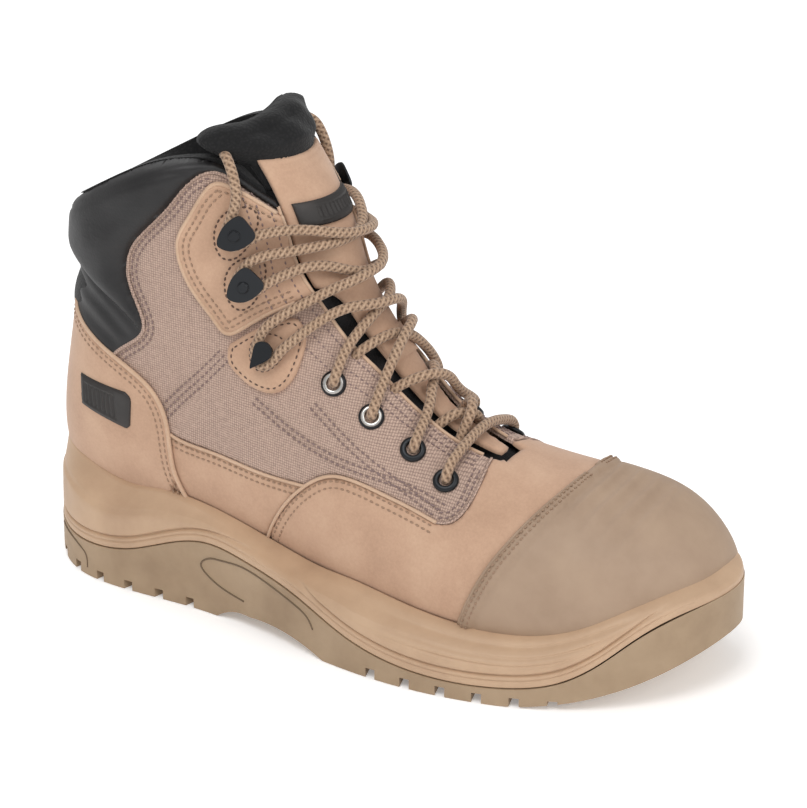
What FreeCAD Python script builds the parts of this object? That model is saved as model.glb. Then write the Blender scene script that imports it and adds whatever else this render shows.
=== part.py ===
import FreeCAD, Part
import math
import os
from FreeCAD import Vector as V

os.makedirs("parts", exist_ok=True)
doc = FreeCAD.newDocument("work_boot")
sheet = doc.addObject("Spreadsheet::Sheet", "Dimensions")

# Driving dimensions in millimetres (angles in degrees).
SIZES = [
    ("sole_length", 308.0), ("skin_gap", 0.1), ("panel_thick", 1.7), ("overlay_thick", 1.6),
    ("stiffener_thick", 1.7), ("lining_thick", 2.8), ("gusset_thick", 1.5), ("tread_depth", 4.0),
    ("tread_groove", 4.0), ("sole_skin", 2.0), ("cup_wall", 7.0), ("shank_length", 92.0),
    ("shank_width", 14.0), ("shank_thick", 1.2), ("footbed_rise", 5.0), ("eyelet_outer", 10.4),
    ("eyelet_hole", 5.6), ("eyelet_flange", 0.7), ("eyelet_barrel", 6.8), ("eyelet_depth", 1.7),
    ("hook_plate", 0.9), ("hook_length", 13.0), ("hook_width", 12.0), ("hook_post", 3.0),
    ("hook_lift", 5.4), ("rivet_head", 4.6), ("rivet_rise", 0.9), ("lace_radius", 2.1),
    ("aglet_length", 18.0), ("aglet_radius", 2.3), ("label_thick", 0.9), ("flex_height", 160.0),
    ("flex_gap", 0.8), ("tongue_clear", 6.0), ("opening_clear", 0.6),
]
for row, (name, value) in enumerate(SIZES, start=1):
    sheet.set("A%d" % row, name)
    sheet.set("B%d" % row, "%g" % value)
    sheet.setAlias("B%d" % row, name)
doc.recompute()


def size(name):
    """A driving dimension, read back from the sheet."""
    return float(sheet.get(name))


# ---- the foot form ---------------------------------------------------------------------------
# One row per section plane from the toe tip, over the instep, to the top of the shaft: the
# lowest (or rearmost) point x, z, the highest (or foremost) point x, z, the half width, the
# sideways centre, the skew towards the sole and the fullness of the section.
STATIONS = [
    (147.0, 31, 147.0, 34, 3, 12.6, 0.60, 2.20),
    (144.5, 28, 143.5, 49, 17, 12.6, 0.60, 2.20),
    (136.0, 25, 134.0, 60, 30, 11.6, 0.58, 2.30),
    (118.0, 22, 117.0, 69.5, 42, 9.6, 0.55, 2.40),
    (92.0, 19, 92.0, 74.5, 48, 6.6, 0.52, 2.40),
    (62.0, 17, 62.0, 79, 49.5, 3.6, 0.50, 2.30),
    (30.0, 17, 33.0, 90, 46, 1.6, 0.50, 2.15),
    (0.0, 19, 12.5, 110, 42, 0.6, 0.52, 2.05),
    (-32.0, 22, -2.5, 130, 38.5, 0.6, 0.58, 2.00),
    (-70.0, 25, -11.5, 147, 37.5, 1.6, 0.66, 2.05),
    (-112.0, 28, -18.0, 159, 38.5, 3.6, 0.80, 2.15),
    (-141.5, 38, -23.0, 168, 40, 3.6, 0.95, 2.20),
    (-145.5, 66, -28.0, 176, 41, 3.6, 0.98, 2.25),
    (-140.0, 98, -33.5, 184, 41.5, 3.6, 0.98, 2.25),
    (-135.5, 130, -40.0, 192, 41.5, 3.6, 0.98, 2.25),
    (-136.0, 158, -46.5, 200, 41, 3.6, 0.98, 2.25),
    (-137.5, 187, -53.0, 209, 40.5, 3.6, 0.98, 2.25),
]


class Natural:
    """A natural cubic spline through values at 0, 1, 2, ..."""

    def __init__(self, ys):
        n = len(ys)
        self.ys = ys
        upper, rhs = [0.0] * n, [0.0] * n
        for i in range(1, n - 1):
            w = 4.0 - upper[i - 1]
            upper[i] = 1.0 / w
            rhs[i] = (6.0 * (ys[i + 1] - 2 * ys[i] + ys[i - 1]) - rhs[i - 1]) / w
        self.m = [0.0] * n
        for i in range(n - 2, 0, -1):
            self.m[i] = rhs[i] - upper[i] * self.m[i + 1]

    def __call__(self, t):
        i = min(max(int(math.floor(t)), 0), len(self.ys) - 2)
        u, v = t - i, 1.0 - (t - i)
        a, b = self.ys[i], self.ys[i + 1]
        return (v * a + u * b + ((v ** 3 - v) * self.m[i] + (u ** 3 - u) * self.m[i + 1]) / 6.0)


COLUMNS = [Natural([float(row[k]) for row in STATIONS]) for k in range(8)]
LAST = len(STATIONS) - 1
TOE_STATIONS = 4.0  # sections over which an offset also moves the toe tip forward


def form_point(t, q, d=0.0):
    """Point of the foot form: t along the sections, q from -1 (lateral) over 0 (top) to 1."""
    bx, bz, tx, tz, half, centre, skew, full = [c(t) for c in COLUMNS]
    high = math.hypot(tx - bx, tz - bz)
    dx, dz = (tx - bx) / high, (tz - bz) / high
    c = math.cos(abs(q) * math.pi)
    side = (half + d) * max(1.0 - abs(c) ** full, 0.0) ** (1.0 / full)
    rise = -d + (high + 2 * d) * ((1 + c) / 2) ** (1 / skew)
    ahead = d * max(0.0, 1 - t / TOE_STATIONS) ** 0.5
    return V(bx + dx * rise + ahead, centre + (side if q > 0 else -side), bz + dz * rise)


def form_frame(t, q):
    """Unit directions along the sections, away from the top ridge, and outwards."""
    e = 0.02
    along = form_point(t + e, q) - form_point(t - e, q)
    step = e * 0.2 * (1 if q > 0 else -1)
    away = form_point(t, q + step) - form_point(t, q - step)
    along.normalize()
    away.normalize()
    out = along.cross(away)
    out.normalize()
    middle = V((COLUMNS[0](t) + COLUMNS[2](t)) / 2, COLUMNS[5](t), (COLUMNS[1](t) + COLUMNS[3](t)) / 2)
    if out.dot(form_point(t, q) - middle) < 0:
        out = out * -1
    return along, away, out


FORMS = {}
RING = 36
RING_AT = [k / float(RING) for k in range(RING + 1)]  # one spacing for every section


def form(d):
    """Solid foot form grown by d on every side."""
    if d not in FORMS:
        wires = []
        begin = 0.0  # a shrunken form starts where its section still has some room
        while min(COLUMNS[4](begin) + d, COLUMNS[3](begin) - COLUMNS[1](begin) + 2 * d) < 2.5:
            begin += 0.05
        stops = [begin + (2.0 - begin) * k / 5 for k in range(5)]
        stops += [2, 2.5] + [float(k) for k in range(3, LAST + 1)]
        for t in stops:
            ring = [form_point(t, -1 + 2.0 * k / RING, d) for k in range(RING)]
            curve = Part.BSplineCurve()
            curve.interpolate(Points=ring, PeriodicFlag=True, Parameters=RING_AT)
            wires.append(Part.Wire(curve.toShape()))
        FORMS[d] = Part.makeLoft(wires, True, False, False, 3)
    return FORMS[d]


GAP = size("skin_gap")
PANEL_IN = -size("panel_thick")
STIFF_OUT = PANEL_IN - GAP
STIFF_IN = STIFF_OUT - size("stiffener_thick")
LINING_OUT = STIFF_IN - GAP
LINING_IN = LINING_OUT - size("lining_thick")
GUSSET_OUT = LINING_IN - GAP
GUSSET_IN = GUSSET_OUT - size("gusset_thick")
OVER_IN = GAP
OVER_OUT = GAP + size("overlay_thick")
CENTRE_Y = 3.6
FAR = 90.0


def run_edges(runs, place):
    """Edges of a closed outline; a run of three or more points is a smooth curve."""
    edges, last, first = [], None, None
    for run in runs:
        pts = [place(*p) for p in run]
        if last is not None and last.distanceToPoint(pts[0]) > 1e-6:
            edges.append(Part.makeLine(last, pts[0]))
        if len(pts) > 2:
            curve = Part.BSplineCurve()
            curve.interpolate(Points=pts)
            edges.append(curve.toShape())
        elif len(pts) == 2:
            edges.append(Part.makeLine(pts[0], pts[1]))
        first = first or pts[0]
        last = pts[-1]
    if last.distanceToPoint(first) > 1e-6:
        edges.append(Part.makeLine(last, first))
    return edges


def side_block(runs, y0=-FAR, y1=FAR):
    """Outline in the x, z plane pushed through from y0 to y1."""
    wire = Part.Wire(run_edges(runs, lambda x, z: V(x, y0, z)))
    return Part.Face(wire).extrude(V(0, y1 - y0, 0))


def plan_block(runs, z0, z1):
    """Outline in the x, y plane pushed up from z0 to z1."""
    wire = Part.Wire(run_edges(runs, lambda x, y: V(x, y, z0)))
    return Part.Face(wire).extrude(V(0, 0, z1 - z0))


def loop_block(points, y0, y1):
    """Closed smooth outline in the x, z plane pushed through from y0 to y1."""
    curve = Part.BSplineCurve()
    curve.interpolate(Points=[V(x, y0, z) for x, z in points], PeriodicFlag=True)
    return Part.Face(Part.Wire(curve.toShape())).extrude(V(0, y1 - y0, 0))


def layer(outer, inner, *blocks):
    """The part of the form between two offsets that lies inside all the blocks."""
    piece = form(outer)
    for block in blocks:
        piece = piece.common(block)
    return piece.cut(form(inner))


def mirrored(runs):
    return [[(x, 2 * CENTRE_Y - y) for x, y in run] for run in runs]


def biggest(shape, keep=1):
    """The largest solids of a shape, dropping crumbs."""
    solids = sorted(shape.Solids, key=lambda s: -s.Volume)[:keep]
    return solids[0] if keep == 1 else Part.makeCompound(solids)


PIECES = []


def piece(name, shape):
    """Adds a finished sub-part to the document under its file name."""
    item = doc.addObject("Part::Feature", name)
    item.Label = name
    item.Shape = shape
    PIECES.append(item)
    return item


# ---- sole unit -------------------------------------------------------------------------------
# Half-way outline of the sole in plan, toe at +x, lateral side at -y.
SOLE = [
    (-154, 5.7), (-146, 29.6), (-126, 43.1), (-95, 48.3), (-55, 43.1), (-10, 43.1), (30, 52.5),
    (62, 59.8), (95, 59.8), (125, 49.4), (146, 30.6), (154, 10.9), (148, -14.1), (128, -35.9),
    (98, -51.5), (62, -59.8), (25, -59.8), (-20, -50.5), (-60, -42.2), (-95, -41.1),
    (-126, -34.9), (-146, -17.2),
]
TOP_EDGE = [(-170, 55), (-150, 53.5), (-138, 51), (-125, 46.5), (-110, 43), (-98, 43),
            (-86, 45), (-75, 44.6), (-62, 43), (-45, 39), (-28, 34.6), (-10, 31.6), (8, 31),
            (28, 28.8), (45, 26.8), (62, 25.4), (80, 25), (95, 26.2), (106, 29), (118, 34),
            (130, 40), (138, 43), (146, 45.2), (154, 46.5), (170, 48)]
WAVE = [(-170, 17), (-140, 15.5), (-112, 15.6), (-96, 18.5), (-76, 26), (-58, 30.4), (-39, 29),
        (-8, 23), (15, 14.5), (38, 8.8), (57, 6.8), (85, 7.2), (106, 11.4), (120, 20),
        (132, 30.5), (143, 37.5), (170, 42)]
GROUND = [[(-170, 18), (-154, 8), (-146, 3), (-134, 0)], [(-134, 0), (-52, 0)],
          [(-52, 0), (-44, 4.2), (-34, 5.2)], [(-34, 5.2), (-8, 4.4), (6, 0)], [(6, 0), (84, 0)],
          [(84, 0), (104, 2.4), (122, 7.2), (138, 14), (154, 23.5), (170, 34)]]


def sole_prism(inset, z0, z1):
    long = size("sole_length") / 308.0
    kx, ky = (154.0 - inset) / 154.0 * long, (59.8 - inset) / 59.8
    curve = Part.BSplineCurve()
    curve.interpolate(Points=[V(x * kx, y * ky, z0) for x, y in SOLE], PeriodicFlag=True)
    return Part.Face(Part.Wire(curve.toShape())).extrude(V(0, 0, z1 - z0))


def above(points, lift=0.0, roof=120.0):
    run = [(x, z + lift) for x, z in points]
    return side_block([run, [(170, roof), (-170, roof)]])


def below(points, lift=0.0, floor=-30.0):
    run = [(x, z + lift) for x, z in points]
    return side_block([run, [(170, floor), (-170, floor)]])


ground_runs = [[(x, z) for x, z in run] for run in GROUND]
over_ground = side_block(ground_runs + [[(170, 120), (-170, 120)]])
CORE = [(-170, 13), (-146, 9.5), (-134, 7.5), (-60, 7.2), (-40, 8.6), (-10, 8.2), (10, 6.2),
        (84, 6.2), (104, 8.2), (122, 13), (138, 20), (154, 29), (170, 38)]
whole = sole_prism(0, -20, 75).common(over_ground)
core = sole_prism(size("cup_wall"), -20, 90).common(above(CORE))
outsole = whole.common(below(WAVE)).cut(core)

# The tread: angled bars on both sides of a middle channel, deeper across the forefoot.
deep, wide = size("tread_depth"), size("tread_groove")


def tread_bar(x, side, slant, length, depth):
    bar = Part.makeBox(wide, length, depth * 2, V(-wide / 2, 4.5, -depth))
    bar.rotate(V(0, 0, 0), V(0, 0, 1), slant)
    if side < 0:
        bar = bar.mirror(V(0, 0, 0), V(0, 1, 0))
    bar.translate(V(x, CENTRE_Y * 0.5, 0))
    return bar


bars = []
for k in range(6):
    for side in (-1, 1):
        bars.append(tread_bar(-133 + 15.5 * k, side, 14, 70, deep))
for k in range(7):
    for side in (-1, 1):
        bars.append(tread_bar(12 + 15.5 * k, side, -16, 80, deep))
bars.append(Part.makeBox(58, 5, deep * 2, V(-120, -1, -deep)))
bars.append(Part.makeBox(72, 5, deep * 2, V(18, -1, -deep)))
outsole = outsole.cut(Part.makeCompound(bars))
outsole = outsole.cut(form(OVER_OUT + GAP))  # the rubber climbs the toe outside the upper

# A leaf-shaped inset on each side of the arch.
LEAF = [(-60, 21), (-50, 25.2), (-40, 26.2), (-29, 25.0), (-18, 22.4), (-8, 19.6), (-1, 16),
        (1, 12), (-8, 11.4), (-24, 12), (-38, 12.4), (-47, 12.4), (-55, 15.6)]
rim = whole.cut(sole_prism(2.4, -20, 75))
for word, y0, y1 in (("lateral", -FAR, -10.0), ("medial", 10.0, FAR)):
    leaf = rim.common(loop_block(LEAF, y0, y1))
    outsole = outsole.cut(leaf)
    piece("arch_panel_" + word, biggest(leaf))
piece("outsole", biggest(outsole))

solid_below = whole.common(below(WAVE)).cut(core)
midsole = whole.common(below(TOP_EDGE)).cut(solid_below).cut(form(OVER_OUT + GAP))

# Steel shank: a flat bar let into the midsole under the arch, drawn as a sketch and padded.
shank_body = doc.addObject("PartDesign::Body", "steel_shank")
shank_body.Label = "steel_shank"
sketch = doc.addObject("Sketcher::SketchObject", "shank_outline")
shank_body.addObject(sketch)
sketch.AttachmentSupport = (shank_body.Origin.OriginFeatures[3], "")
sketch.MapMode = "FlatFace"
corners = [V(-46, -7, 0), V(46, -7, 0), V(46, 7, 0), V(-46, 7, 0)]
for k in range(4):
    sketch.addGeometry(Part.LineSegment(corners[k], corners[(k + 1) % 4]), False)
import Sketcher  # noqa: E402  (needed for the constraints below)
for k in range(4):
    sketch.addConstraint(Sketcher.Constraint("Coincident", k, 2, (k + 1) % 4, 1))
for k, kind in ((0, "Horizontal"), (2, "Horizontal"), (1, "Vertical"), (3, "Vertical")):
    sketch.addConstraint(Sketcher.Constraint(kind, k))
sketch.addConstraint(Sketcher.Constraint("Symmetric", 0, 1, 1, 2, -1, 1))
sketch.addConstraint(Sketcher.Constraint("DistanceX", 0, 1, 0, 2, 92.0))
sketch.addConstraint(Sketcher.Constraint("DistanceY", 1, 1, 1, 2, 14.0))
sketch.setExpression("Constraints[9]", "Dimensions.shank_length")
sketch.setExpression("Constraints[10]", "Dimensions.shank_width")
pad = doc.addObject("PartDesign::Pad", "shank_pad")
shank_body.addObject(pad)
pad.Profile = sketch
pad.setExpression("Length", "Dimensions.shank_thick")
shank_body.Tip = pad
shank_tilt = FreeCAD.Rotation(V(0, 1, 0), 5.0)
shank_body.Placement = FreeCAD.Placement(V(-32, 2.0, 16.6), shank_tilt)
doc.recompute()
midsole = midsole.cut(shank_body.Shape)
piece("midsole", biggest(midsole))

# ---- regions of the upper, seen from the side (x, z) -----------------------------------------
FEATHER = [(-170, 44), (-145, 42), (-112, 34), (-70, 31), (-32, 28), (0, 25), (30, 23), (62, 23),
           (92, 25), (118, 28), (136, 31), (147, 34), (170, 36)]
VAMP_WING = [(-40, 8), (-35, 31), (-25, 50), (-13, 64), (-2, 70.3), (9, 70.3), (22, 67.3),
             (34, 64.3), (46, 61.2)]
QUARTER_NOSE = [(46, 61.2), (52, 62.5), (56.5, 69.5), (56, 77), (52, 84)]
FOXING_TOP = [(-13, 64), (-34, 64.6), (-59, 68), (-80, 72), (-92, 83), (-108, 94.5), (-124, 103),
              (-170, 121)]
CANVAS_BACK = [(-109, 95), (-100, 105), (-88, 116.5), (-90, 125), (-94.5, 138), (-93.5, 147),
               (-85, 159), (-74, 171), (-66, 181), (-59, 184.6), (-50, 180.5), (-40, 173),
               (-20, 158)]
COLLAR_TOP = [(-170, 133), (-150, 147), (-136, 157), (-118, 168), (-95, 181), (-80, 187.5),
              (-66, 189.5), (-56, 187.6), (-46, 181), (-34, 171.5), (-20, 160)]
COUNTER_EDGE = [(-170, 134), (-132, 116), (-110, 104.8), (-96, 97.6), (-86.5, 90.5),
                (-80.5, 80), (-78.5, 66), (-77, 54), (-71, 40), (-66, 28)]
TOE_EDGE = [(58, 14), (61.5, 26), (67, 39.5), (73, 52), (78, 60), (82.5, 66.5), (87, 72),
            (92, 78)]
FACING_TOP = [(-20, 157), (-36, 168.5), (-45, 175), (-52, 179), (-57, 180.2), (-61, 176),
              (-66, 166.5), (-70.5, 157), (-69.5, 146), (-64.5, 135.5), (-57, 125), (-51.5, 119.5),
              (-46, 122), (-38, 127.5), (-26, 134), (-8, 139)]
TAB = [(-50.5, 115), (-51, 108.5), (-45.5, 102.5), (-37, 98.6), (-29, 98.6), (-23.5, 103.5),
       (-20.5, 112), (-20, 121), (-24, 127.5), (-34, 125.6), (-43, 120.5)]


def opening(extra, front, z0=60.0, back=-64.0):
    """The lacing slit seen from above, widened on each side by extra."""
    half = [(54, 9.5), (44, 10.8), (28, 12.0), (12, 15.2), (-4, 18.2), (-20, 19.6), (-44, 20.2)]
    half = [(x, h) for x, h in half if x > back + 5]
    half = [(front, 7.0)] + half + [(back, half[-1][1] + 0.4)]
    low = [(x, CENTRE_Y - 2.0 - h - extra) for x, h in half]
    high = [(x, CENTRE_Y - 2.0 + h + extra) for x, h in half]
    return plan_block([low, high[::-1]], z0, 240.0)


slit = opening(0.0, 60.0)
wide_slit = opening(12.5, 61.0, 60.0, -24.0)
foam_slit = opening(22.0, 66.0, 60.0, -24.0)
under_collar = side_block([COLLAR_TOP, [(-20, 160), (170, 160)], [(170, -20), (-170, -20)]])
feather_up = above(FEATHER, 0.0, 260.0)
SIDES = (("lateral", -FAR, CENTRE_Y - 0.1), ("medial", CENTRE_Y + 0.1, FAR))

vamp_zone = side_block([VAMP_WING, QUARTER_NOSE, [(52, 150), (170, 150)], [(170, 8), (-40, 8)]])
foxing_zone = side_block([VAMP_WING[:4], FOXING_TOP, [(-170, 8), (-40, 8)]])
quarter_zone = side_block([VAMP_WING[3:], QUARTER_NOSE, [(52, 150), (-20, 158)],
                           CANVAS_BACK[::-1], [(-108, 94.5), (-108, 94.4)],
                           FOXING_TOP[:6][::-1]])
collar_zone = side_block([CANVAS_BACK, COLLAR_TOP[::-1], [(-170, 122), (-124, 104)],
                          [(-124, 103.6), (-109, 95)]])

# ---- outer panels, one per side --------------------------------------------------------------
skin = form(0).common(feather_up).common(under_collar)


def panel(zone, y0, y1, cutter):
    half = skin.common(side_block(BOX_RUNS, y0, y1)).common(zone)
    return half.cut(form(PANEL_IN)).cut(cutter)


BOX_RUNS = [[(-170, -20), (170, -20)], [(170, 240), (-170, 240)]]
vamp = skin.common(vamp_zone).cut(form(PANEL_IN)).cut(slit)
piece("vamp", biggest(vamp))
holes = []
for word, y0, y1 in SIDES:
    piece("foxing_" + word, biggest(panel(foxing_zone, y0, y1, slit)))
quarters = {}
for word, y0, y1 in SIDES:
    quarters[word] = biggest(panel(quarter_zone, y0, y1, slit))

# Overlays stitched on top of the panels.
cover = form(OVER_OUT).common(feather_up)
toe_zone = side_block([TOE_EDGE, [(92, 78), (92, 160)], [(170, 160), (170, 14)]])
piece("toe_overlay", biggest(cover.common(toe_zone).cut(form(OVER_IN))))
counter_zone = side_block([COUNTER_EDGE, [(-66, 10), (-170, 10)]])
counter = cover.common(counter_zone).cut(form(OVER_IN))
label_t, label_q = 11.15, -0.628
label_box = Part.makeBox(24, 8, 15, V(-12, -4, -7.5))
label_box.rotate(V(0, 0, 0), V(0, 1, 0), 9)
label_box.rotate(V(0, 0, 0), V(0, 0, 1), -17)
label_at = form_point(label_t, label_q)
label_box.translate(label_at)
heel_label = counter.common(label_box)
counter = counter.cut(heel_label)
piece("heel_counter_cover", biggest(counter))
piece("heel_label", biggest(heel_label))
facing_zone = side_block([FACING_TOP, [(-8, 139), (-8, 157)]])
tab_zone = loop_block(TAB, -FAR, FAR)
overlays = {}
for word, y0, y1 in SIDES:
    half = cover.common(side_block(BOX_RUNS, y0, y1)).cut(slit)
    overlays["upper_facing_" + word] = biggest(half.common(facing_zone).cut(form(OVER_IN)))
    overlays["hook_tab_" + word] = biggest(half.common(tab_zone).cut(form(OVER_IN)))

# Padded collar: one soft ring round the back of the shaft, over the lining.
collar = form(OVER_OUT).common(collar_zone).cut(form(PANEL_IN)).cut(slit).cut(counter)
piece("collar_pad", biggest(collar))

# ---- stiffeners, padding and lining ----------------------------------------------------------
inner = form(STIFF_OUT).common(feather_up)
cap_zone = side_block([[(88, 10), (90, 40), (95, 60), (97, 90)], [(170, 90), (170, 10)]])
strip_zone = side_block([[(84.1, 10), (86, 40), (91, 60), (93, 90)],
                         [(96.9, 90), (94.9, 60), (89.9, 40), (87.9, 10)]])
heel_zone = side_block([[(-86, 10), (-90, 45), (-98, 70), (-118, 88)],
                        [(-170, 92), (-170, 10)]])
steel_cap = inner.common(cap_zone).cut(form(STIFF_IN))
piece("steel_toe_cap", biggest(steel_cap))
strip = inner.common(strip_zone).cut(form(STIFF_IN))
piece("toe_cap_edge_strip", biggest(strip))
heel_stiff = inner.common(heel_zone).cut(form(STIFF_IN))
piece("heel_stiffener", biggest(heel_stiff))
between = side_block([[(84, -10), (84, 10), (85.9, 40), (90.9, 60), (92.9, 90), (92.9, 120)],
                      [(92.9, 240), (-170, 240)], [(-170, 92.2), (-118, 88.2)],
                      [(-118, 88.2), (-97.9, 70.2), (-89.8, 45), (-85.8, 10)],
                      [(-85.8, -10), (84, -10)]])
foam = inner.common(between).common(under_collar)
for word, y0, y1 in SIDES:
    half = foam.common(side_block(BOX_RUNS, y0, y1)).cut(form(STIFF_IN))
    piece("padding_layer_" + word, biggest(half.cut(foam_slit).cut(slit).cut(strip)))

lining = form(LINING_OUT).common(under_collar).cut(form(LINING_IN)).cut(wide_slit).cut(slit)
piece("lining", biggest(lining))
board = form(0).common(below(FEATHER, -0.1)).cut(form(STIFF_IN))
piece("insole_board", biggest(board))
BED = [(-170, 46), (-150, 43), (-112, 41), (-70, 38), (-32, 35), (0, 32), (30, 30), (62, 30),
       (92, 32), (118, 35), (140, 38), (170, 42)]
bed = form(LINING_IN - GAP).common(below(BED))
piece("footbed", biggest(bed))

# ---- tongue ----------------------------------------------------------------------------------
flex = size("flex_height")
FLEX_T = 12.0
flex_at = form_point(FLEX_T, 0.0001, 0.0)
flex_along, flex_away, flex_out = form_frame(FLEX_T, 0.001)
tilt = math.atan2(flex_out.z, flex_out.x)


def half_space(sign, back_angle):
    """Block above (+1) or below (-1) a plane through the flex line, tilted back by an angle."""
    away = V(-math.cos(tilt + math.radians(back_angle)), 0,
             -math.sin(tilt + math.radians(back_angle)))
    ahead = V(math.cos(tilt), 0, math.sin(tilt))
    up = V(-math.sin(tilt), 0, math.cos(tilt)) * sign
    lift = up * (size("flex_gap") / 2)
    at = V(flex_at.x, -FAR, flex_at.z) + lift
    pts = [at + ahead * 80, at, at + away * 150, at + away * 150 + up * 260,
           at + ahead * 80 + up * 260]
    return Part.Face(Part.makePolygon(pts + [pts[0]])).extrude(V(0, 2 * FAR, 0))


upper_part = half_space(1, 0)
lower_part = half_space(-1, 8)
clear = size("tongue_clear")


def tongue_slit(extra, front, back):
    half = [(front, 5.0), (54, 7.5), (44, 9.5), (28, 12.0), (12, 15.2), (-4, 18.2),
            (-14, 19.4), (-20, 19.8), (-30, 20.0), (back, 20.2)]
    low = [(x, CENTRE_Y - 2.0 - max(h + extra(x), 2.0)) for x, h in half]
    high = [(x, CENTRE_Y - 2.0 + max(h + extra(x), 2.0)) for x, h in half]
    return plan_block([low, high[::-1]], 60.0, 260.0)


def lace_room(x):
    """The tongue stays clear of the facings where the lace has to pass under them."""
    return -clear if x > -8 else -clear + (clear - 0.8) * min(1.0, (-8 - x) / 12.0)


body_zone = tongue_slit(lace_room, 58.0, -40.0)
tongue = form(0).common(body_zone).common(lower_part).cut(form(LINING_IN))
tongue = tongue.common(side_block([[(-60, 62), (70, 62)], [(70, 240), (-60, 240)]]))
tongue = biggest(tongue)
gusset_zone = plan_block([[(70, -9), (56, -14), (30, -22), (0, -26), (-60, -28)],
                          [(-60, 31), (0, 29), (30, 25), (56, 17), (70, 12)]], 60.0, 260.0)
gusset = form(GUSSET_OUT).common(gusset_zone).common(lower_part).cut(form(GUSSET_IN))
piece("tongue_gusset", biggest(gusset))

# The free top of the tongue: leather face, soft mesh pad behind and above it, sewn label.
TOP_SPREAD = 34.0
narrow = plan_block([[(20, CENTRE_Y - 20.6), (-120, CENTRE_Y - 20.6)],
                     [(-120, CENTRE_Y + 16.6), (20, CENTRE_Y + 16.6)]], 100, 260)
wide_top = plan_block([[(20, CENTRE_Y - TOP_SPREAD), (-120, CENTRE_Y - TOP_SPREAD)],
                       [(-120, CENTRE_Y + TOP_SPREAD), (20, CENTRE_Y + TOP_SPREAD)]], 100, 260)
FACE_TOP = [(-70, 187), (-52, 189), (-40, 188), (0, 186)]
PAD_TOP = [(-90, 196), (-70, 203), (-54, 206.5), (-44, 204), (-32, 196), (0, 190)]
CHEEK = [(-120, 199), (-80, 198.5), (-66, 197.5), (-52, 196.5), (0, 195)]
face = form(0).common(narrow).common(upper_part).common(below(FACE_TOP, 0, 100))
tongue_face = biggest(face.cut(form(PANEL_IN)))
pad_low = form(STIFF_OUT).common(narrow).common(upper_part).common(below(PAD_TOP, 0, 100))
pad_high = form(0).common(narrow).common(above([(x, z + 0.1) for x, z in FACE_TOP], 0, 260))
pad_high = pad_high.common(below(PAD_TOP, 0, 100))
pad = pad_low.fuse(pad_high).cut(form(GUSSET_IN))
cheeks = form(0).common(wide_top).common(above(CHEEK, 0, 260)).common(below(PAD_TOP, 0, 100))
pad = pad.fuse(cheeks.cut(form(GUSSET_IN)))
pad = pad.cut(face)
front_only = side_block([[(-96, 100), (20, 100)], [(20, 260), (-96, 260)]])
pad = biggest(pad.common(front_only))
flag_at = form_point(11.15, -0.062)
f_along, f_away, f_out = form_frame(11.15, -0.062)
flag = Part.makeBox(21, 9.2, 6, V(-10.5, -4.6, -3))
flag.Placement = FreeCAD.Placement(flag_at, FreeCAD.Rotation(f_away, f_along, f_out, "ZXY"))
label = form(OVER_OUT).common(flag).cut(form(OVER_IN))
piece("tongue_top_leather", tongue_face)
piece("tongue_top_pad", pad)
piece("tongue_label", biggest(label))

# ---- lace, eyelets and hooks -----------------------------------------------------------------
# Places on the form (t, q on the medial side) of the lacing hardware, from the toe upwards.
EYELETS = [(5.59, 0.178), (6.19, 0.170), (7.01, 0.202), (7.87, 0.234)]
TAB_HOOK = (9.31, 0.307)
PLATE_HOOKS = [(10.86, 0.279), (12.33, 0.263)]
LACE = size("lace_radius")
PLATE = size("hook_plate")
LIFT = size("hook_lift")
BASE = OVER_OUT + 0.35


def placed(shape, t, q, offset):
    """Copy of a shape drawn in its own x (away from the ridge), y, z (outwards) axes."""
    along, away, out = form_frame(t, q)
    turn = FreeCAD.Rotation(away, along, out, "ZXY")
    copy = shape.copy()
    copy.Placement = FreeCAD.Placement(form_point(t, q) + out * offset, turn)
    return copy


def loop_plate(points, z0, thick):
    curve = Part.BSplineCurve()
    curve.interpolate(Points=[V(x, y, z0) for x, y in points], PeriodicFlag=True)
    return Part.Face(Part.Wire(curve.toShape())).extrude(V(0, 0, thick))


# One eyelet, driven by the sheet: a flange and a barrel with a hole through both.
def cylinder(name, radius, height, z):
    item = doc.addObject("Part::Cylinder", name)
    item.setExpression("Radius", radius)
    item.setExpression("Height", height)
    item.setExpression("Placement.Base.z", z)
    return item


flange = cylinder("eyelet_flange_disc", "Dimensions.eyelet_outer / 2",
                  "Dimensions.eyelet_flange", "0")
barrel = cylinder("eyelet_barrel_tube", "Dimensions.eyelet_barrel / 2",
                  "Dimensions.eyelet_depth", "-Dimensions.eyelet_depth")
bore = cylinder("eyelet_bore", "Dimensions.eyelet_hole / 2",
                "Dimensions.eyelet_depth * 4", "-Dimensions.eyelet_depth * 2")
ring = doc.addObject("Part::Fuse", "eyelet_blank")
ring.Base, ring.Tool = flange, barrel
eyelet = doc.addObject("Part::Cut", "eyelet_part")
eyelet.Base, eyelet.Tool = ring, bore
doc.recompute()
EYELET_LIFT = 0.3
for name, spots in (("eyelets_plain", EYELETS[:2]), ("eyelets_ringed", EYELETS[2:])):
    rings = [placed(eyelet.Shape, t, s * q, EYELET_LIFT) for t, q in spots for s in (-1, 1)]
    piece(name, Part.makeCompound(rings))
punch = Part.makeCylinder(size("eyelet_barrel") / 2 + 0.05, 12, V(0, 0, -6))
for word, side in (("lateral", -1), ("medial", 1)):
    quarter = quarters[word]
    for t, q in EYELETS:
        quarter = quarter.cut(placed(punch, t, side * q, 0))
    piece("quarter_" + word, biggest(quarter))
    for name in ("upper_facing_", "hook_tab_"):
        piece(name + word, overlays[name + word])

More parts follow.
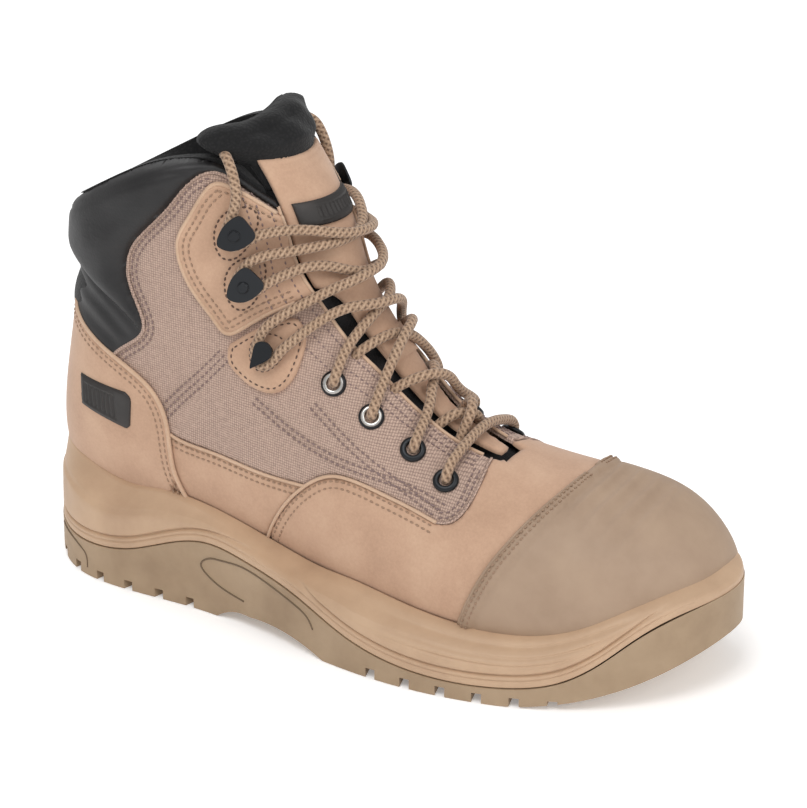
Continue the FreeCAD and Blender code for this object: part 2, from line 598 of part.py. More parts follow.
# Hooks: a foot on the leather, a post, and a cover plate the lace is held under.
POST = size("hook_post") / 2
half_l, half_w = size("hook_length") / 2 + 1.0, size("hook_width") / 2
PLATE_LINE = [(half_l, 0), (half_l * 0.62, half_w * 0.66), (-half_l * 0.35, half_w),
              (-half_l * 0.86, half_w * 0.86), (-half_l, 0), (-half_l * 0.86, -half_w * 0.86),
              (-half_l * 0.35, -half_w), (half_l * 0.62, -half_w * 0.66)]
TEAR_LINE = [(half_l * 0.95, 0), (half_l * 0.35, half_w * 0.42), (-half_l * 0.4, half_w * 0.62),
             (-half_l * 0.72, 0), (-half_l * 0.4, -half_w * 0.62), (half_l * 0.35, -half_w * 0.42)]


def hook(line):
    foot = Part.makeCylinder(POST + 1.2, PLATE)
    post = Part.makeCylinder(POST, PLATE + LIFT + 0.2)
    return foot.fuse(post).fuse(loop_plate(line, PLATE + LIFT, PLATE))


plate_hook, tear_hook = hook(PLATE_LINE), hook(TEAR_LINE)
head = Part.makeCylinder(size("rivet_head") / 2, size("rivet_rise"), V(0, 0, 2 * PLATE + LIFT))
head = head.makeChamfer(size("rivet_rise") * 0.5, [head.Edges[0]])
plates = [placed(plate_hook, t, s * q, BASE) for t, q in PLATE_HOOKS for s in (-1, 1)]
heads = [placed(head, t, s * q, BASE + 0.02) for t, q in PLATE_HOOKS for s in (-1, 1)]
piece("plate_hooks", Part.makeCompound(plates))
piece("hook_rivets", Part.makeCompound(heads))
piece("tab_hooks", Part.makeCompound([placed(tear_hook, TAB_HOOK[0], s * TAB_HOOK[1], BASE)
                                      for s in (-1, 1)]))


def off(t, q, lift):
    if abs(q) < 0.004:
        q = 0.004 if q >= 0 else -0.004
    return form_point(t, q) + form_frame(t, q)[2] * lift


def local(t, q, inward, up, lift):
    """Point near a fitting: so far towards the ridge, up the boot and outwards."""
    along, away, out = form_frame(t, q)
    return form_point(t, q) - away * inward + along * up + out * lift


LOW, HIGH = 4.4, 9.0  # heights of the strands over the tongue
UNDER = PANEL_IN - LACE - 0.35
HELD = BASE + PLATE + LACE + 0.3
BEND = POST + LACE + 1.5
EDGE_Q = [0.062, 0.070, 0.118, 0.162]  # where the facing edge runs beside each eyelet
CROSS_T = [8.0, 8.75, 9.75]  # stations where the strands to the hooks cross the ridge
SHOULDER = 0.14  # q of the rounded corner between the front of the tongue and the side


def half_lace(side, high_first):
    """Points of one half of the lace, from the lowest bar up to its tucked end."""
    s = side
    t, q = EYELETS[0]
    spots = [local(t, s * q, 8.0, 0, 3.1), local(t, s * q, 3.6, 0, 3.1),
             local(t, s * q, 0.9, 0, 2.1), local(t, s * q, 0, 0, -0.6),
             local(t, s * q, 0.9, 0.3, UNDER + 1.1), local(t, s * q, 4.0, 0.8, UNDER),
             off(t + 0.10, s * (EDGE_Q[0] + 0.006), UNDER + 0.2),
             off(t + 0.16, s * (EDGE_Q[0] - 0.026), 0.8)]
    for k in (1, 2, 3):
        t0, t1, q1 = EYELETS[k - 1][0], EYELETS[k][0], EYELETS[k][1]
        edge0, edge1 = EDGE_Q[k - 1], EDGE_Q[k]
        mid, tm = (HIGH if (side > 0) == high_first else LOW), (t0 + t1) / 2
        spots += [off(tm - 0.10, s * edge0 * 0.30, mid), off(tm + 0.08, -s * edge1 * 0.30, mid)]
        s = -s
        spots += [off(t1 - 0.16, s * (edge1 - 0.026), 1.6),
                  off(t1 - 0.10, s * (edge1 + 0.006), UNDER + 0.2),
                  local(t1, s * q1, 4.2, -0.8, UNDER), local(t1, s * q1, 0.9, -0.3, UNDER + 1.1),
                  local(t1, s * q1, 0, 0, -0.6), local(t1, s * q1, 0.9, 0, 2.1),
                  local(t1, s * q1, 3.6, 0.2, 3.1), off(t1 + 0.10, s * EDGE_Q[k], 3.4)]
    hooks = [TAB_HOOK] + PLATE_HOOKS
    t0, q0 = EYELETS[3]
    for k, (t1, q1) in enumerate(hooks):
        mid, tm = (HIGH if (side > 0) == high_first else LOW), CROSS_T[k]
        if k:
            spots += [off(tm + (t0 - tm) * SHOULDER / q0, s * SHOULDER, 5.6)]
        spots += [off(tm - 0.05, s * 0.05, mid), off(tm + 0.05, -s * 0.05, mid),
                  off(tm + (t1 - tm) * SHOULDER / q1, -s * SHOULDER, 5.6)]
        s = -s
        spots += [local(t1, s * q1, 9.0, -BEND - 0.6, HELD), local(t1, s * q1, 2.0, -BEND, HELD),
                  local(t1, s * q1, -BEND * 0.7, -BEND * 0.7, HELD),
                  local(t1, s * q1, -BEND, 0, HELD),
                  local(t1, s * q1, -BEND * 0.7, BEND * 0.7, HELD)]
        if k < 2:
            spots += [local(t1, s * q1, 2.0, BEND, HELD),
                      local(t1, s * q1, 9.0, BEND + 0.6, HELD)]
        t0, q0 = t1, q1
    spots += [local(t0, s * q1, 1.0, BEND + 1.6, HELD), off(13.3, s * 0.236, 4.7),
              off(13.9, s * 0.228, 4.6), off(14.4, s * 0.225, 3.6), off(14.75, s * 0.225, -1.0),
              off(14.6, s * 0.225, -7.5), off(14.1, s * 0.228, -10.6),
              off(13.4, s * 0.232, -11.3), off(12.7, s * 0.236, -11.5)]
    return spots


first, second = half_lace(-1, False), half_lace(1, False)
bar = [off(EYELETS[0][0], -0.03, 3.9), off(EYELETS[0][0], 0.03, 3.9)]
route = first[::-1] + bar + second


def cord_wire(points, bend):
    """Straight runs joined by tangent arcs as large as the run lengths leave room for."""
    edges, at = [], points[0]
    for k in range(1, len(points) - 1):
        u, v = points[k] - points[k - 1], points[k + 1] - points[k]
        lu, lv = u.Length, v.Length
        u.normalize()
        v.normalize()
        turn = math.acos(max(-1.0, min(1.0, u.dot(v))))
        if turn < 0.002:
            continue
        reach = min(bend * math.tan(turn / 2), 0.49 * lu, 0.49 * lv)
        radius = reach / math.tan(turn / 2)
        BENDS.append((radius, k))
        a, b = points[k] - u * reach, points[k] + v * reach
        inward = v - u
        inward.normalize()
        middle = points[k] + inward * (radius / math.cos(turn / 2) - radius)
        edges += [Part.makeLine(at, a), Part.Arc(a, middle, b).toShape()]
        at = b
    edges.append(Part.makeLine(at, points[-1]))
    return Part.Wire(edges)


BENDS = []
spine = cord_wire(route, 14.0)
start_dir = route[1] - route[0]
start_dir.normalize()
end_dir = route[-1] - route[-2]
end_dir.normalize()
disc = Part.Wire(Part.makeCircle(LACE, route[0], start_dir))
lace = spine.makePipeShell([disc], True, False)
piece("lace", lace)


def tip(at, direction):
    return Part.makeCylinder(size("aglet_radius"), size("aglet_length"), at, direction)


piece("lace_tips", Part.makeCompound([tip(route[0] - start_dir * 0.05, start_dir * -1),
                                      tip(route[-1] + end_dir * 0.05, end_dir)]))

keep_t = 7.3
strap = Part.makeBox(13, 19, 8, V(-6.5, -9.5, -4))
k_along, k_away, k_out = form_frame(keep_t, 0.004)
strap.Placement = FreeCAD.Placement(form_point(keep_t, 0.004),
                                    FreeCAD.Rotation(k_along, k_away, k_out, "ZXY"))
piece("lace_keeper", biggest(form(OVER_OUT).common(strap).cut(form(OVER_IN))))
piece("tongue", biggest(tongue.cut(lace)))

# The soft layers, the eyelets and the keeper leave room for the lace that runs through them.
GIVES_WAY = ("lining", "quarter_lateral", "quarter_medial", "tongue_gusset", "lace_keeper",
             "eyelets_plain", "eyelets_ringed")
for item in PIECES:
    if item.Label in GIVES_WAY:
        count = 4 if item.Label.startswith("eyelets") else 1
        item.Shape = biggest(item.Shape.cut(lace), count)

# ---- checks and files ------------------------------------------------------------------------
doc.recompute()
for item in PIECES + [shank_body]:
    bad = [flag for flag in item.State if flag in ("Invalid", "Error")]
    if bad or item.Shape.isNull() or not item.Shape.isValid() or item.Shape.Volume < 1:
        raise RuntimeError("bad sub-part %s %s" % (item.Label, bad))
for item in PIECES + [shank_body]:
    item.Shape.exportStep("parts/%s.step" % item.Label)
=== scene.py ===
import math

import bmesh
import bpy
import numpy as np
from mathutils import Matrix, Vector
from mathutils.kdtree import KDTree


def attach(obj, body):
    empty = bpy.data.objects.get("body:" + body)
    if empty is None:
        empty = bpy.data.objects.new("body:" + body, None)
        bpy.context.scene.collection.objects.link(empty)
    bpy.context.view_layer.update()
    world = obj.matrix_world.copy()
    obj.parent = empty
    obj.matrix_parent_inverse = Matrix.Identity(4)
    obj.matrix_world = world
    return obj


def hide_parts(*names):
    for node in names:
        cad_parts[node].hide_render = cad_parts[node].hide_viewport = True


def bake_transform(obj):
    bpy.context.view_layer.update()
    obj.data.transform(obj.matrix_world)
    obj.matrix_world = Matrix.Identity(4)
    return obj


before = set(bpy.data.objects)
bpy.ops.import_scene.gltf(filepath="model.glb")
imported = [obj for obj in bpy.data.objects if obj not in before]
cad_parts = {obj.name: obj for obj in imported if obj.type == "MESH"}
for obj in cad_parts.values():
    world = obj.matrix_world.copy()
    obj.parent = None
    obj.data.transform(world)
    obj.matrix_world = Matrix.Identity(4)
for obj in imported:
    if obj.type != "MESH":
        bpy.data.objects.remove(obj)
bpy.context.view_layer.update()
MM = 0.001

# ---- the foot form: the same stations as the CAD part ------------------------------------------
# Each station is an ellipse-like section: bottom x, bottom z, top x, top z, half width, middle y,
# a skew that moves its widest place up or down, and a fullness (2 is an ellipse).
STATIONS = np.array([
    (147.0, 31, 147.0, 34, 3, 12.6, 0.60, 2.20),
    (144.5, 28, 143.5, 49, 17, 12.6, 0.60, 2.20),
    (136.0, 25, 134.0, 60, 30, 11.6, 0.58, 2.30),
    (118.0, 22, 117.0, 69.5, 42, 9.6, 0.55, 2.40),
    (92.0, 19, 92.0, 74.5, 48, 6.6, 0.52, 2.40),
    (62.0, 17, 62.0, 79, 49.5, 3.6, 0.50, 2.30),
    (30.0, 17, 33.0, 90, 46, 1.6, 0.50, 2.15),
    (0.0, 19, 12.5, 110, 42, 0.6, 0.52, 2.05),
    (-32.0, 22, -2.5, 130, 38.5, 0.6, 0.58, 2.00),
    (-70.0, 25, -11.5, 147, 37.5, 1.6, 0.66, 2.05),
    (-112.0, 28, -18.0, 159, 38.5, 3.6, 0.80, 2.15),
    (-141.5, 38, -23.0, 168, 40, 3.6, 0.95, 2.20),
    (-145.5, 66, -28.0, 176, 41, 3.6, 0.98, 2.25),
    (-140.0, 98, -33.5, 184, 41.5, 3.6, 0.98, 2.25),
    (-135.5, 130, -40.0, 192, 41.5, 3.6, 0.98, 2.25),
    (-136.0, 158, -46.5, 200, 41, 3.6, 0.98, 2.25),
    (-137.5, 187, -53.0, 209, 40.5, 3.6, 0.98, 2.25)])
CENTRE_Y = 3.6
SLIT_SHIFT = 2.0  # the lacing slit lies this far to the lateral side of the centre
PANEL = 1.7  # thickness of one leather panel, so the height of whatever lies on it


def natural(ys):
    """Second derivatives of the natural cubic spline through rows at 0, 1, 2, ..."""
    n = len(ys)
    a = np.zeros((n, n))
    a[0, 0] = a[-1, -1] = 1
    rhs = np.zeros_like(ys)
    for i in range(1, n - 1):
        a[i, i - 1:i + 2] = (1, 4, 1)
        rhs[i] = 6 * (ys[i + 1] - 2 * ys[i] + ys[i - 1])
    return np.linalg.solve(a, rhs)


CURVE = natural(STATIONS)


def station(t):
    t = np.asarray(t, float)
    i = np.clip(np.floor(t).astype(int), 0, len(STATIONS) - 2)
    u = (t - i)[..., None]
    v = 1 - u
    return (v * STATIONS[i] + u * STATIONS[i + 1]
            + ((v ** 3 - v) * CURVE[i] + (u ** 3 - u) * CURVE[i + 1]) / 6)


def form(t, q):
    """Points of the foot form in mm; t along it, q round it from the top ridge, -1 to 1."""
    t, q = np.broadcast_arrays(np.asarray(t, float), np.asarray(q, float))
    q = (q + 1) % 2 - 1
    bx, bz, tx, tz, half, mid, skew, full = np.moveaxis(station(t), -1, 0)
    high = np.hypot(tx - bx, tz - bz)
    c = np.cos(np.abs(q) * np.pi)
    side = half * np.maximum(1 - np.abs(c) ** full, 0) ** (1 / full)
    rise = high * ((1 + c) / 2) ** (1 / skew)
    return np.stack([bx + (tx - bx) / high * rise, mid + np.where(q > 0, side, -side),
                     bz + (tz - bz) / high * rise], -1)


def unit(v):
    return v / np.maximum(np.linalg.norm(v, axis=-1, keepdims=True), 1e-12)


def directions(t, q):
    """Along the stations, towards growing q, and outwards."""
    t, q = np.broadcast_arrays(np.asarray(t, float), np.asarray(q, float))
    along = unit(form(t + 0.02, q) - form(t - 0.02, q))
    round_ = unit(form(t, q + 0.004) - form(t, q - 0.004))
    out = unit(np.cross(along, round_))
    s = station(t)
    middle = np.stack([(s[..., 0] + s[..., 2]) / 2, s[..., 5], (s[..., 1] + s[..., 3]) / 2], -1)
    flip = np.sign((out * (form(t, q) - middle)).sum(-1, keepdims=True))
    return along, round_, out * np.where(flip == 0, 1, flip)


def smooth(run, step=1.0):
    """A natural cubic spline through the points of a run, sampled every step mm."""
    run = np.array(run, float)
    if len(run) < 3:
        n = max(int(np.linalg.norm(run[-1] - run[0]) / step), 1)
        return run[0] + (run[-1] - run[0]) * np.linspace(0, 1, n + 1)[:, None]
    s = np.r_[0, np.cumsum(np.linalg.norm(np.diff(run, axis=0), axis=1))]
    h = np.diff(s)
    n = len(run)
    a, rhs = np.zeros((n, n)), np.zeros_like(run)
    a[0, 0] = a[-1, -1] = 1
    for i in range(1, n - 1):
        a[i, i - 1], a[i, i], a[i, i + 1] = h[i - 1], 2 * (h[i - 1] + h[i]), h[i]
        rhs[i] = 6 * ((run[i + 1] - run[i]) / h[i] - (run[i] - run[i - 1]) / h[i - 1])
    m = np.linalg.solve(a, rhs)
    x = np.linspace(0, s[-1], max(int(s[-1] / step), 2) + 1)
    i = np.clip(np.searchsorted(s, x, side="right") - 1, 0, n - 2)
    u, w, hh = (x - s[i])[:, None], (s[i + 1] - x)[:, None], h[i][:, None]
    return (m[i] * w ** 3 + m[i + 1] * u ** 3) / (6 * hh) + (run[i] / hh - m[i] * hh / 6) * w \
        + (run[i + 1] / hh - m[i + 1] * hh / 6) * u


def outline(runs, step=1.0):
    return np.concatenate([smooth(r, step) for r in runs])


def tree_of(points):
    tree = KDTree(len(points))
    for k, c in enumerate(points):
        tree.insert(c, k)
    tree.balance()
    return tree


def gaps(tree, points):
    """Distance from each point to the tree's nearest one."""
    return np.array([tree.find(x)[2] for x in points])


def inside(points, loop):
    """Distance to a closed outline in its plane, positive inside."""
    a, b = loop, np.roll(loop, -1, 0)
    keep = np.linalg.norm(b - a, axis=1) > 1e-9
    a, b = a[keep], b[keep]
    out = np.empty(len(points))
    for k in range(0, len(points), 20000):
        p = points[k:k + 20000, None]
        ab = b - a
        u = np.clip(((p - a) * ab).sum(-1) / (ab * ab).sum(-1), 0, 1)
        d = np.linalg.norm(p - a - ab * u[..., None], axis=-1).min(1)
        cross = ((a[:, 1] > p[..., 1]) != (b[:, 1] > p[..., 1]))
        with np.errstate(divide="ignore", invalid="ignore"):
            xs = a[:, 0] + (p[..., 1] - a[:, 1]) / (b[:, 1] - a[:, 1]) * ab[:, 0]
        odd = (cross & (p[..., 0] < xs)).sum(1) % 2 == 1
        out[k:k + 20000] = np.where(odd, d, -d)
    return out


# ---- outlines of the upper, seen from the side (x, z) in mm --------------------------------------
VAMP_WING = [(-40, 8), (-35, 31), (-25, 50), (-13, 64), (-2, 70.3), (9, 70.3), (22, 67.3),
             (34, 64.3), (46, 61.2)]
QUARTER_NOSE = [(46, 61.2), (52, 62.5), (56.5, 69.5), (56, 77), (52, 84)]
FOXING_TOP = [(-13, 64), (-34, 64.6), (-59, 68), (-80, 72), (-92, 83), (-108, 94.5), (-124, 103),
              (-170, 121)]
CANVAS_BACK = [(-109, 95), (-100, 105), (-88, 116.5), (-90, 125), (-94.5, 138), (-93.5, 147),
               (-85, 159), (-74, 171), (-66, 181), (-59, 184.6), (-50, 180.5), (-40, 173),
               (-20, 158)]
COLLAR_TOP = [(-170, 133), (-150, 147), (-136, 157), (-118, 168), (-95, 181), (-80, 187.5),
              (-66, 189.5), (-56, 187.6), (-46, 181), (-34, 171.5), (-20, 160)]
COUNTER_EDGE = [(-170, 134), (-132, 116), (-110, 104.8), (-96, 97.6), (-86.5, 90.5),
                (-80.5, 80), (-78.5, 66), (-77, 54), (-71, 40), (-66, 28)]
TOE_EDGE = [(58, 14), (61.5, 26), (67, 39.5), (73, 52), (78, 60), (82.5, 66.5), (87, 72),
            (92, 78)]
FACING_TOP = [(-20, 157), (-36, 168.5), (-45, 175), (-52, 179), (-57, 180.2), (-61, 176),
              (-66, 166.5), (-70.5, 157), (-69.5, 146), (-64.5, 135.5), (-57, 125), (-51.5, 119.5),
              (-46, 122), (-38, 127.5), (-26, 134), (-8, 139)]
TAB = [(-50.5, 115), (-51, 108.5), (-45.5, 102.5), (-37, 98.6), (-29, 98.6), (-23.5, 103.5),
       (-20.5, 112), (-20, 121), (-24, 127.5), (-34, 125.6), (-43, 120.5)]
SLIT = np.array([(60, 7.0), (54, 9.5), (44, 10.8), (28, 12.0), (12, 15.2), (-4, 18.2),
                 (-20, 19.6), (-44, 20.2), (-64, 20.6)])


def side_region(runs):
    loop = outline(runs)
    return lambda p: inside(p[:, (0, 2)], loop)


def off_slit(p, extra=0.0):
    """Distance sideways from the edge of the lacing slit, positive on the boot's side of it."""
    half = np.interp(p[:, 0], SLIT[::-1, 0], SLIT[::-1, 1]) + extra
    d = np.abs(p[:, 1] - CENTRE_Y + SLIT_SHIFT) - half
    return np.where(p[:, 2] < 60, 50.0, np.where(p[:, 0] > 60, np.maximum(p[:, 0] - 60, d), d))


def both(*tests):
    return lambda p: np.min([f(p) for f in tests], axis=0)


under_collar = side_region([COLLAR_TOP, [(-20, 160), (170, 160)], [(170, -20), (-170, -20)]])
vamp_in = both(side_region([VAMP_WING, QUARTER_NOSE, [(52, 150), (170, 150)],
                            [(170, 8), (-40, 8)]]), off_slit)
foxing_in = side_region([VAMP_WING[:4], FOXING_TOP, [(-170, 8), (-40, 8)]])
quarter_in = both(side_region([VAMP_WING[3:], QUARTER_NOSE, [(52, 150), (-20, 158)],
                               CANVAS_BACK[::-1], FOXING_TOP[:6][::-1]]), off_slit)
collar_in = both(side_region([CANVAS_BACK, COLLAR_TOP[::-1], [(-170, 122), (-124, 104)]]), off_slit)
toe_in = side_region([TOE_EDGE, [(92, 78), (92, 160)], [(170, 160), (170, 14)]])
counter_in = side_region([COUNTER_EDGE, [(-66, 10), (-170, 10)]])
facing_in = both(side_region([FACING_TOP, [(-8, 139), (-8, 157)]]), off_slit, under_collar)
tab_in = side_region([TAB + TAB[:1]])


# ---- building blocks ---------------------------------------------------------------------------
def finish_object(name, bm, material, body="boot", replaces=(), smooth_faces=True):
    me = bpy.data.meshes.new(name)
    bm.to_mesh(me)
    bm.free()
    if smooth_faces:
        me.polygons.foreach_set("use_smooth", [True] * len(me.polygons))
    ob = bpy.data.objects.new(name, me)
    bpy.context.scene.collection.objects.link(ob)
    me.materials.append(material)
    if body:
        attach(ob, body)
    if replaces:
        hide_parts(*replaces)
    return ob


def set_uv(bm, uv):
    """uv: one pair per vertex, in mm."""
    layer = bm.loops.layers.uv.new("UVMap")
    for f in bm.faces:
        for loop in f.loops:
            loop[layer].uv = uv[loop.vert.index]


def patch(name, t_range, q_range, step, region, lift, thick, edge, material, relief=None,
          replaces=(), uv=False, body="boot", inner=False):
    """A skin of leather or cloth on the foot form: a fine grid cut to a region, with a rounded
    edge, a relief on its face and a wall down to its back."""
    t0, t1 = t_range
    q0, q1 = q_range
    ts, qs = np.linspace(t0, t1, 40), np.linspace(q0, q1, 40)
    tt, qq = np.meshgrid(ts, qs, indexing="ij")
    p = form(tt, qq)
    long_t = np.linalg.norm(np.diff(p, axis=0), axis=-1).sum(0).mean()
    long_q = np.linalg.norm(np.diff(p, axis=1), axis=-1).sum(1).max()
    nt, nq = max(int(long_t / step), 4), max(int(long_q / step), 4)
    bm = bmesh.new()
    bmesh.ops.create_grid(bm, x_segments=nt, y_segments=nq, size=0.5)
    co = np.array([v.co[:] for v in bm.verts])
    t, q = t0 + (t1 - t0) * (co[:, 0] + 0.5), q0 + (q1 - q0) * (co[:, 1] + 0.5)
    f = region(form(t, q))
    for turn in range(3):
        near = np.nonzero(np.abs(f) < 3.5 * step)[0]
        tn, qn, fn = t[near], q[near], f[near]
        base = form(tn, qn)
        et, eq = 0.01, 0.002
        pt, pq = form(tn + et, qn), form(tn, qn + eq)
        lt = np.linalg.norm(pt - base, axis=1) / et
        lq = np.linalg.norm(pq - base, axis=1) / eq
        gt, gq = (region(pt) - fn) / et / lt, (region(pq) - fn) / eq / lq
        size = np.maximum(gt * gt + gq * gq, 0.05)
        move_t, move_q = -fn * gt / size, -fn * gq / size
        reach = np.hypot(move_t, move_q)
        ok = (reach < 0.75 * step) if turn == 0 else (reach < 0.4 * step)
        if turn == 0:
            snapped = near[ok]
        hit = np.isin(near, snapped) & ok
        t[near[hit]] += (move_t / lt)[hit]
        q[near[hit]] += (move_q / lq)[hit]
        f[near[hit]] = region(form(t[near[hit]], q[near[hit]]))
    bm.verts.ensure_lookup_table()
    gone = f < -0.12
    gone[snapped] &= f[snapped] < -0.4 * step
    bmesh.ops.delete(bm, geom=[v for v, g in zip(bm.verts, gone) if g], context="VERTS")
    keep = ~gone
    t, q = t[keep], q[keep]
    bm.verts.index_update()
    data = bm.verts.layers.float.new("t"), bm.verts.layers.float.new("q")
    p = form(t, q)
    for v, tv, qv, pv in zip(bm.verts, t, q, p):
        v[data[0]], v[data[1]] = tv, qv
        v.co = pv
    bmesh.ops.remove_doubles(bm, verts=bm.verts, dist=0.2 * step)
    loose = [v for v in bm.verts if not v.link_faces]
    bmesh.ops.delete(bm, geom=loose, context="VERTS")
    bm.verts.index_update()
    t = np.array([v[data[0]] for v in bm.verts])
    q = np.array([v[data[1]] for v in bm.verts])
    p, out = form(t, q), directions(t, q)[2]
    far = gaps(tree_of(p[[v.index for v in bm.verts if v.is_boundary]]), p)
    drop = np.where(far < edge, edge - np.sqrt(np.maximum(edge ** 2 - (edge - far) ** 2, 0)), 0)
    high = lift + np.minimum(drop, thick * 0.75) * (1 if inner else -1)
    if relief is not None:
        high = high + relief(t, q, p, far)
    place = p + out * high[:, None]
    for v, c in zip(bm.verts, place):
        v.co = c
    edges = [e for e in bm.edges if e.is_boundary]
    grown = bmesh.ops.extrude_edge_only(bm, edges=edges)["geom"]
    added = [v for v in grown if isinstance(v, bmesh.types.BMVert)]
    for v in added:
        n = directions(v[data[0]], v[data[1]])[2]
        v.co = v.co - Vector(n * (thick - 0.3)) * (-1 if inner else 1)
    bmesh.ops.recalc_face_normals(bm, faces=bm.faces)
    # outwards: compare one face with the form
    bm.faces.ensure_lookup_table()
    face = bm.faces[len(bm.faces) // 3]
    v = face.verts[0]
    if Vector(directions(v[data[0]], v[data[1]])[2]).dot(face.normal) < 0:
        bmesh.ops.reverse_faces(bm, faces=bm.faces)
    if inner:
        bmesh.ops.reverse_faces(bm, faces=bm.faces)
    if uv:
        bm.verts.index_update()
        tv = np.array([v[data[0]] for v in bm.verts])
        qv = np.array([v[data[1]] for v in bm.verts])
        set_uv(bm, np.stack([tv, qv], 1))
    bmesh.ops.scale(bm, vec=(MM, MM, MM), verts=bm.verts)
    return finish_object(name, bm, material, body, replaces)


GRID_T, GRID_Q = np.meshgrid(np.linspace(0.3, 15.9, 240), np.linspace(0.01, 0.99, 140), indexing="ij")
GRID_P = form(GRID_T, GRID_Q)


def locate(target, t, q, axes=(0, 1, 2), turns=6):
    """(t, q) of the points of the form nearest to the targets, from a first guess."""
    axes = list(axes)
    for _ in range(turns):
        base = form(t, q)
        jt = (form(t + 0.01, q) - base)[:, axes] / 0.01
        jq = (form(t, q + 0.001) - base)[:, axes] / 0.001
        r = (target - base)[:, axes]
        a, b, c = (jt * jt).sum(1), (jt * jq).sum(1), (jq * jq).sum(1)
        u, v = (jt * r).sum(1), (jq * r).sum(1)
        det = np.maximum(a * c - b * b, 1e-6)
        t = t + np.clip((c * u - b * v) / det, -0.3, 0.3)
        q = q + np.clip((a * v - b * u) / det, -0.03, 0.03)
    return t, q


def line_on_form(points, side, step=0.5, curve=True):
    """A line drawn in the side view, laid on the form's lateral (-1) or medial (1) side."""
    xz = smooth(points, step) if curve else outline([points[k:k + 2] for k in range(len(points) - 1)])
    flat = GRID_P[..., (0, 2)].reshape(-1, 2)
    at = [np.argmin(((flat - p) ** 2).sum(1)) for p in xz]
    t, q = GRID_T.reshape(-1)[at], GRID_Q.reshape(-1)[at] * side
    target = np.stack([xz[:, 0], np.zeros(len(xz)), xz[:, 1]], 1)
    t, q = locate(target, t, q, (0, 2))
    p = form(t, q)
    good = np.hypot(p[:, 0] - xz[:, 0], p[:, 2] - xz[:, 1]) < 0.4
    good &= (np.sign(q) == side) & (t > 0.05) & (t < 16)
    return np.stack([t[good], q[good]], 1)


def shifted(line, dist):
    """The line moved sideways on the form by dist mm (positive: to its left seen from outside)."""
    p = form(line[:, 0], line[:, 1])
    out = directions(line[:, 0], line[:, 1])[2]
    way = unit(np.gradient(p, axis=0))
    target = p + unit(np.cross(out, way)) * dist
    t, q = locate(target, line[:, 0].copy(), line[:, 1].copy())
    return np.stack([t, q], 1)


def resample(line, pitch):
    p = form(line[:, 0], line[:, 1])
    s = np.r_[0, np.cumsum(np.linalg.norm(np.diff(p, axis=0), axis=1))]
    x = np.arange(pitch / 2, s[-1], pitch)
    return np.stack([np.interp(x, s, line[:, k]) for k in (0, 1)], 1), x


ROWS = []  # every stitch row: (line, lift, thread, which skins it dents)


def row(points, side, shifts, lift, thread, marks, curve=True, pitch=2.7):
    line = line_on_form(points, side, curve=curve) if not isinstance(points, np.ndarray) else points
    for d in shifts:
        moved = shifted(line, d) if d else line
        ROWS.append((moved, lift, thread, marks, pitch))


def dent(mark, depth=0.32, width=0.55):
    """Relief that sinks a skin along its stitch rows."""
    pts = [form(l[:, 0], l[:, 1]) for l, _, _, marks, _ in ROWS if mark in marks]
    if not pts:
        return lambda t, q, p, far: 0.0
    tree = tree_of(np.concatenate(pts))
    return lambda t, q, p, far: -depth * np.exp(-(gaps(tree, p) / width) ** 2)


def tube(name, path, radius, sides, material, around=None, **kw):
    """A round cord along a path of points, with UVs in mm: along it and round it."""
    path = np.array(path, float)
    way = unit(np.gradient(path, axis=0))
    n = np.zeros_like(path)
    n[0] = unit(np.cross(way[0], (0, 0, 1)))
    for k in range(1, len(path)):
        v = n[k - 1] - way[k] * (n[k - 1] @ way[k])
        n[k] = v / np.linalg.norm(v)
    b = np.cross(way, n)
    s = np.r_[0, np.cumsum(np.linalg.norm(np.diff(path, axis=0), axis=1))]
    bm = bmesh.new()
    bmesh.ops.create_grid(bm, x_segments=len(path) - 1, y_segments=sides, size=0.5)
    co = np.array([v.co[:] for v in bm.verts])
    i = np.rint((co[:, 0] + 0.5) * (len(path) - 1)).astype(int)
    j = np.rint((co[:, 1] + 0.5) * sides).astype(int)
    ang = 2 * np.pi * j / sides
    r = radius if around is None else around(s[i], ang)
    r = np.broadcast_to(r, ang.shape)
    place = path[i] + (n[i] * np.cos(ang)[:, None] + b[i] * np.sin(ang)[:, None]) * r[:, None]
    for v, c in zip(bm.verts, place):
        v.co = c
    set_uv(bm, np.stack([s[i], j * (2 * np.pi * radius / sides)], 1))
    bmesh.ops.remove_doubles(bm, verts=bm.verts, dist=radius * 0.02)
    bmesh.ops.holes_fill(bm, edges=[e for e in bm.edges if e.is_boundary], sides=sides + 2)
    bmesh.ops.recalc_face_normals(bm, faces=bm.faces)
    bmesh.ops.scale(bm, vec=(MM, MM, MM), verts=bm.verts)
    return finish_object(name, bm, material, **kw)


# ---- materials ---------------------------------------------------------------------------------
def colour(code):
    c = [int(code[k:k + 2], 16) / 255 for k in (1, 3, 5)]
    return [v / 12.92 if v <= 0.04045 else ((v + 0.055) / 1.055) ** 2.4 for v in c] + [1.0]


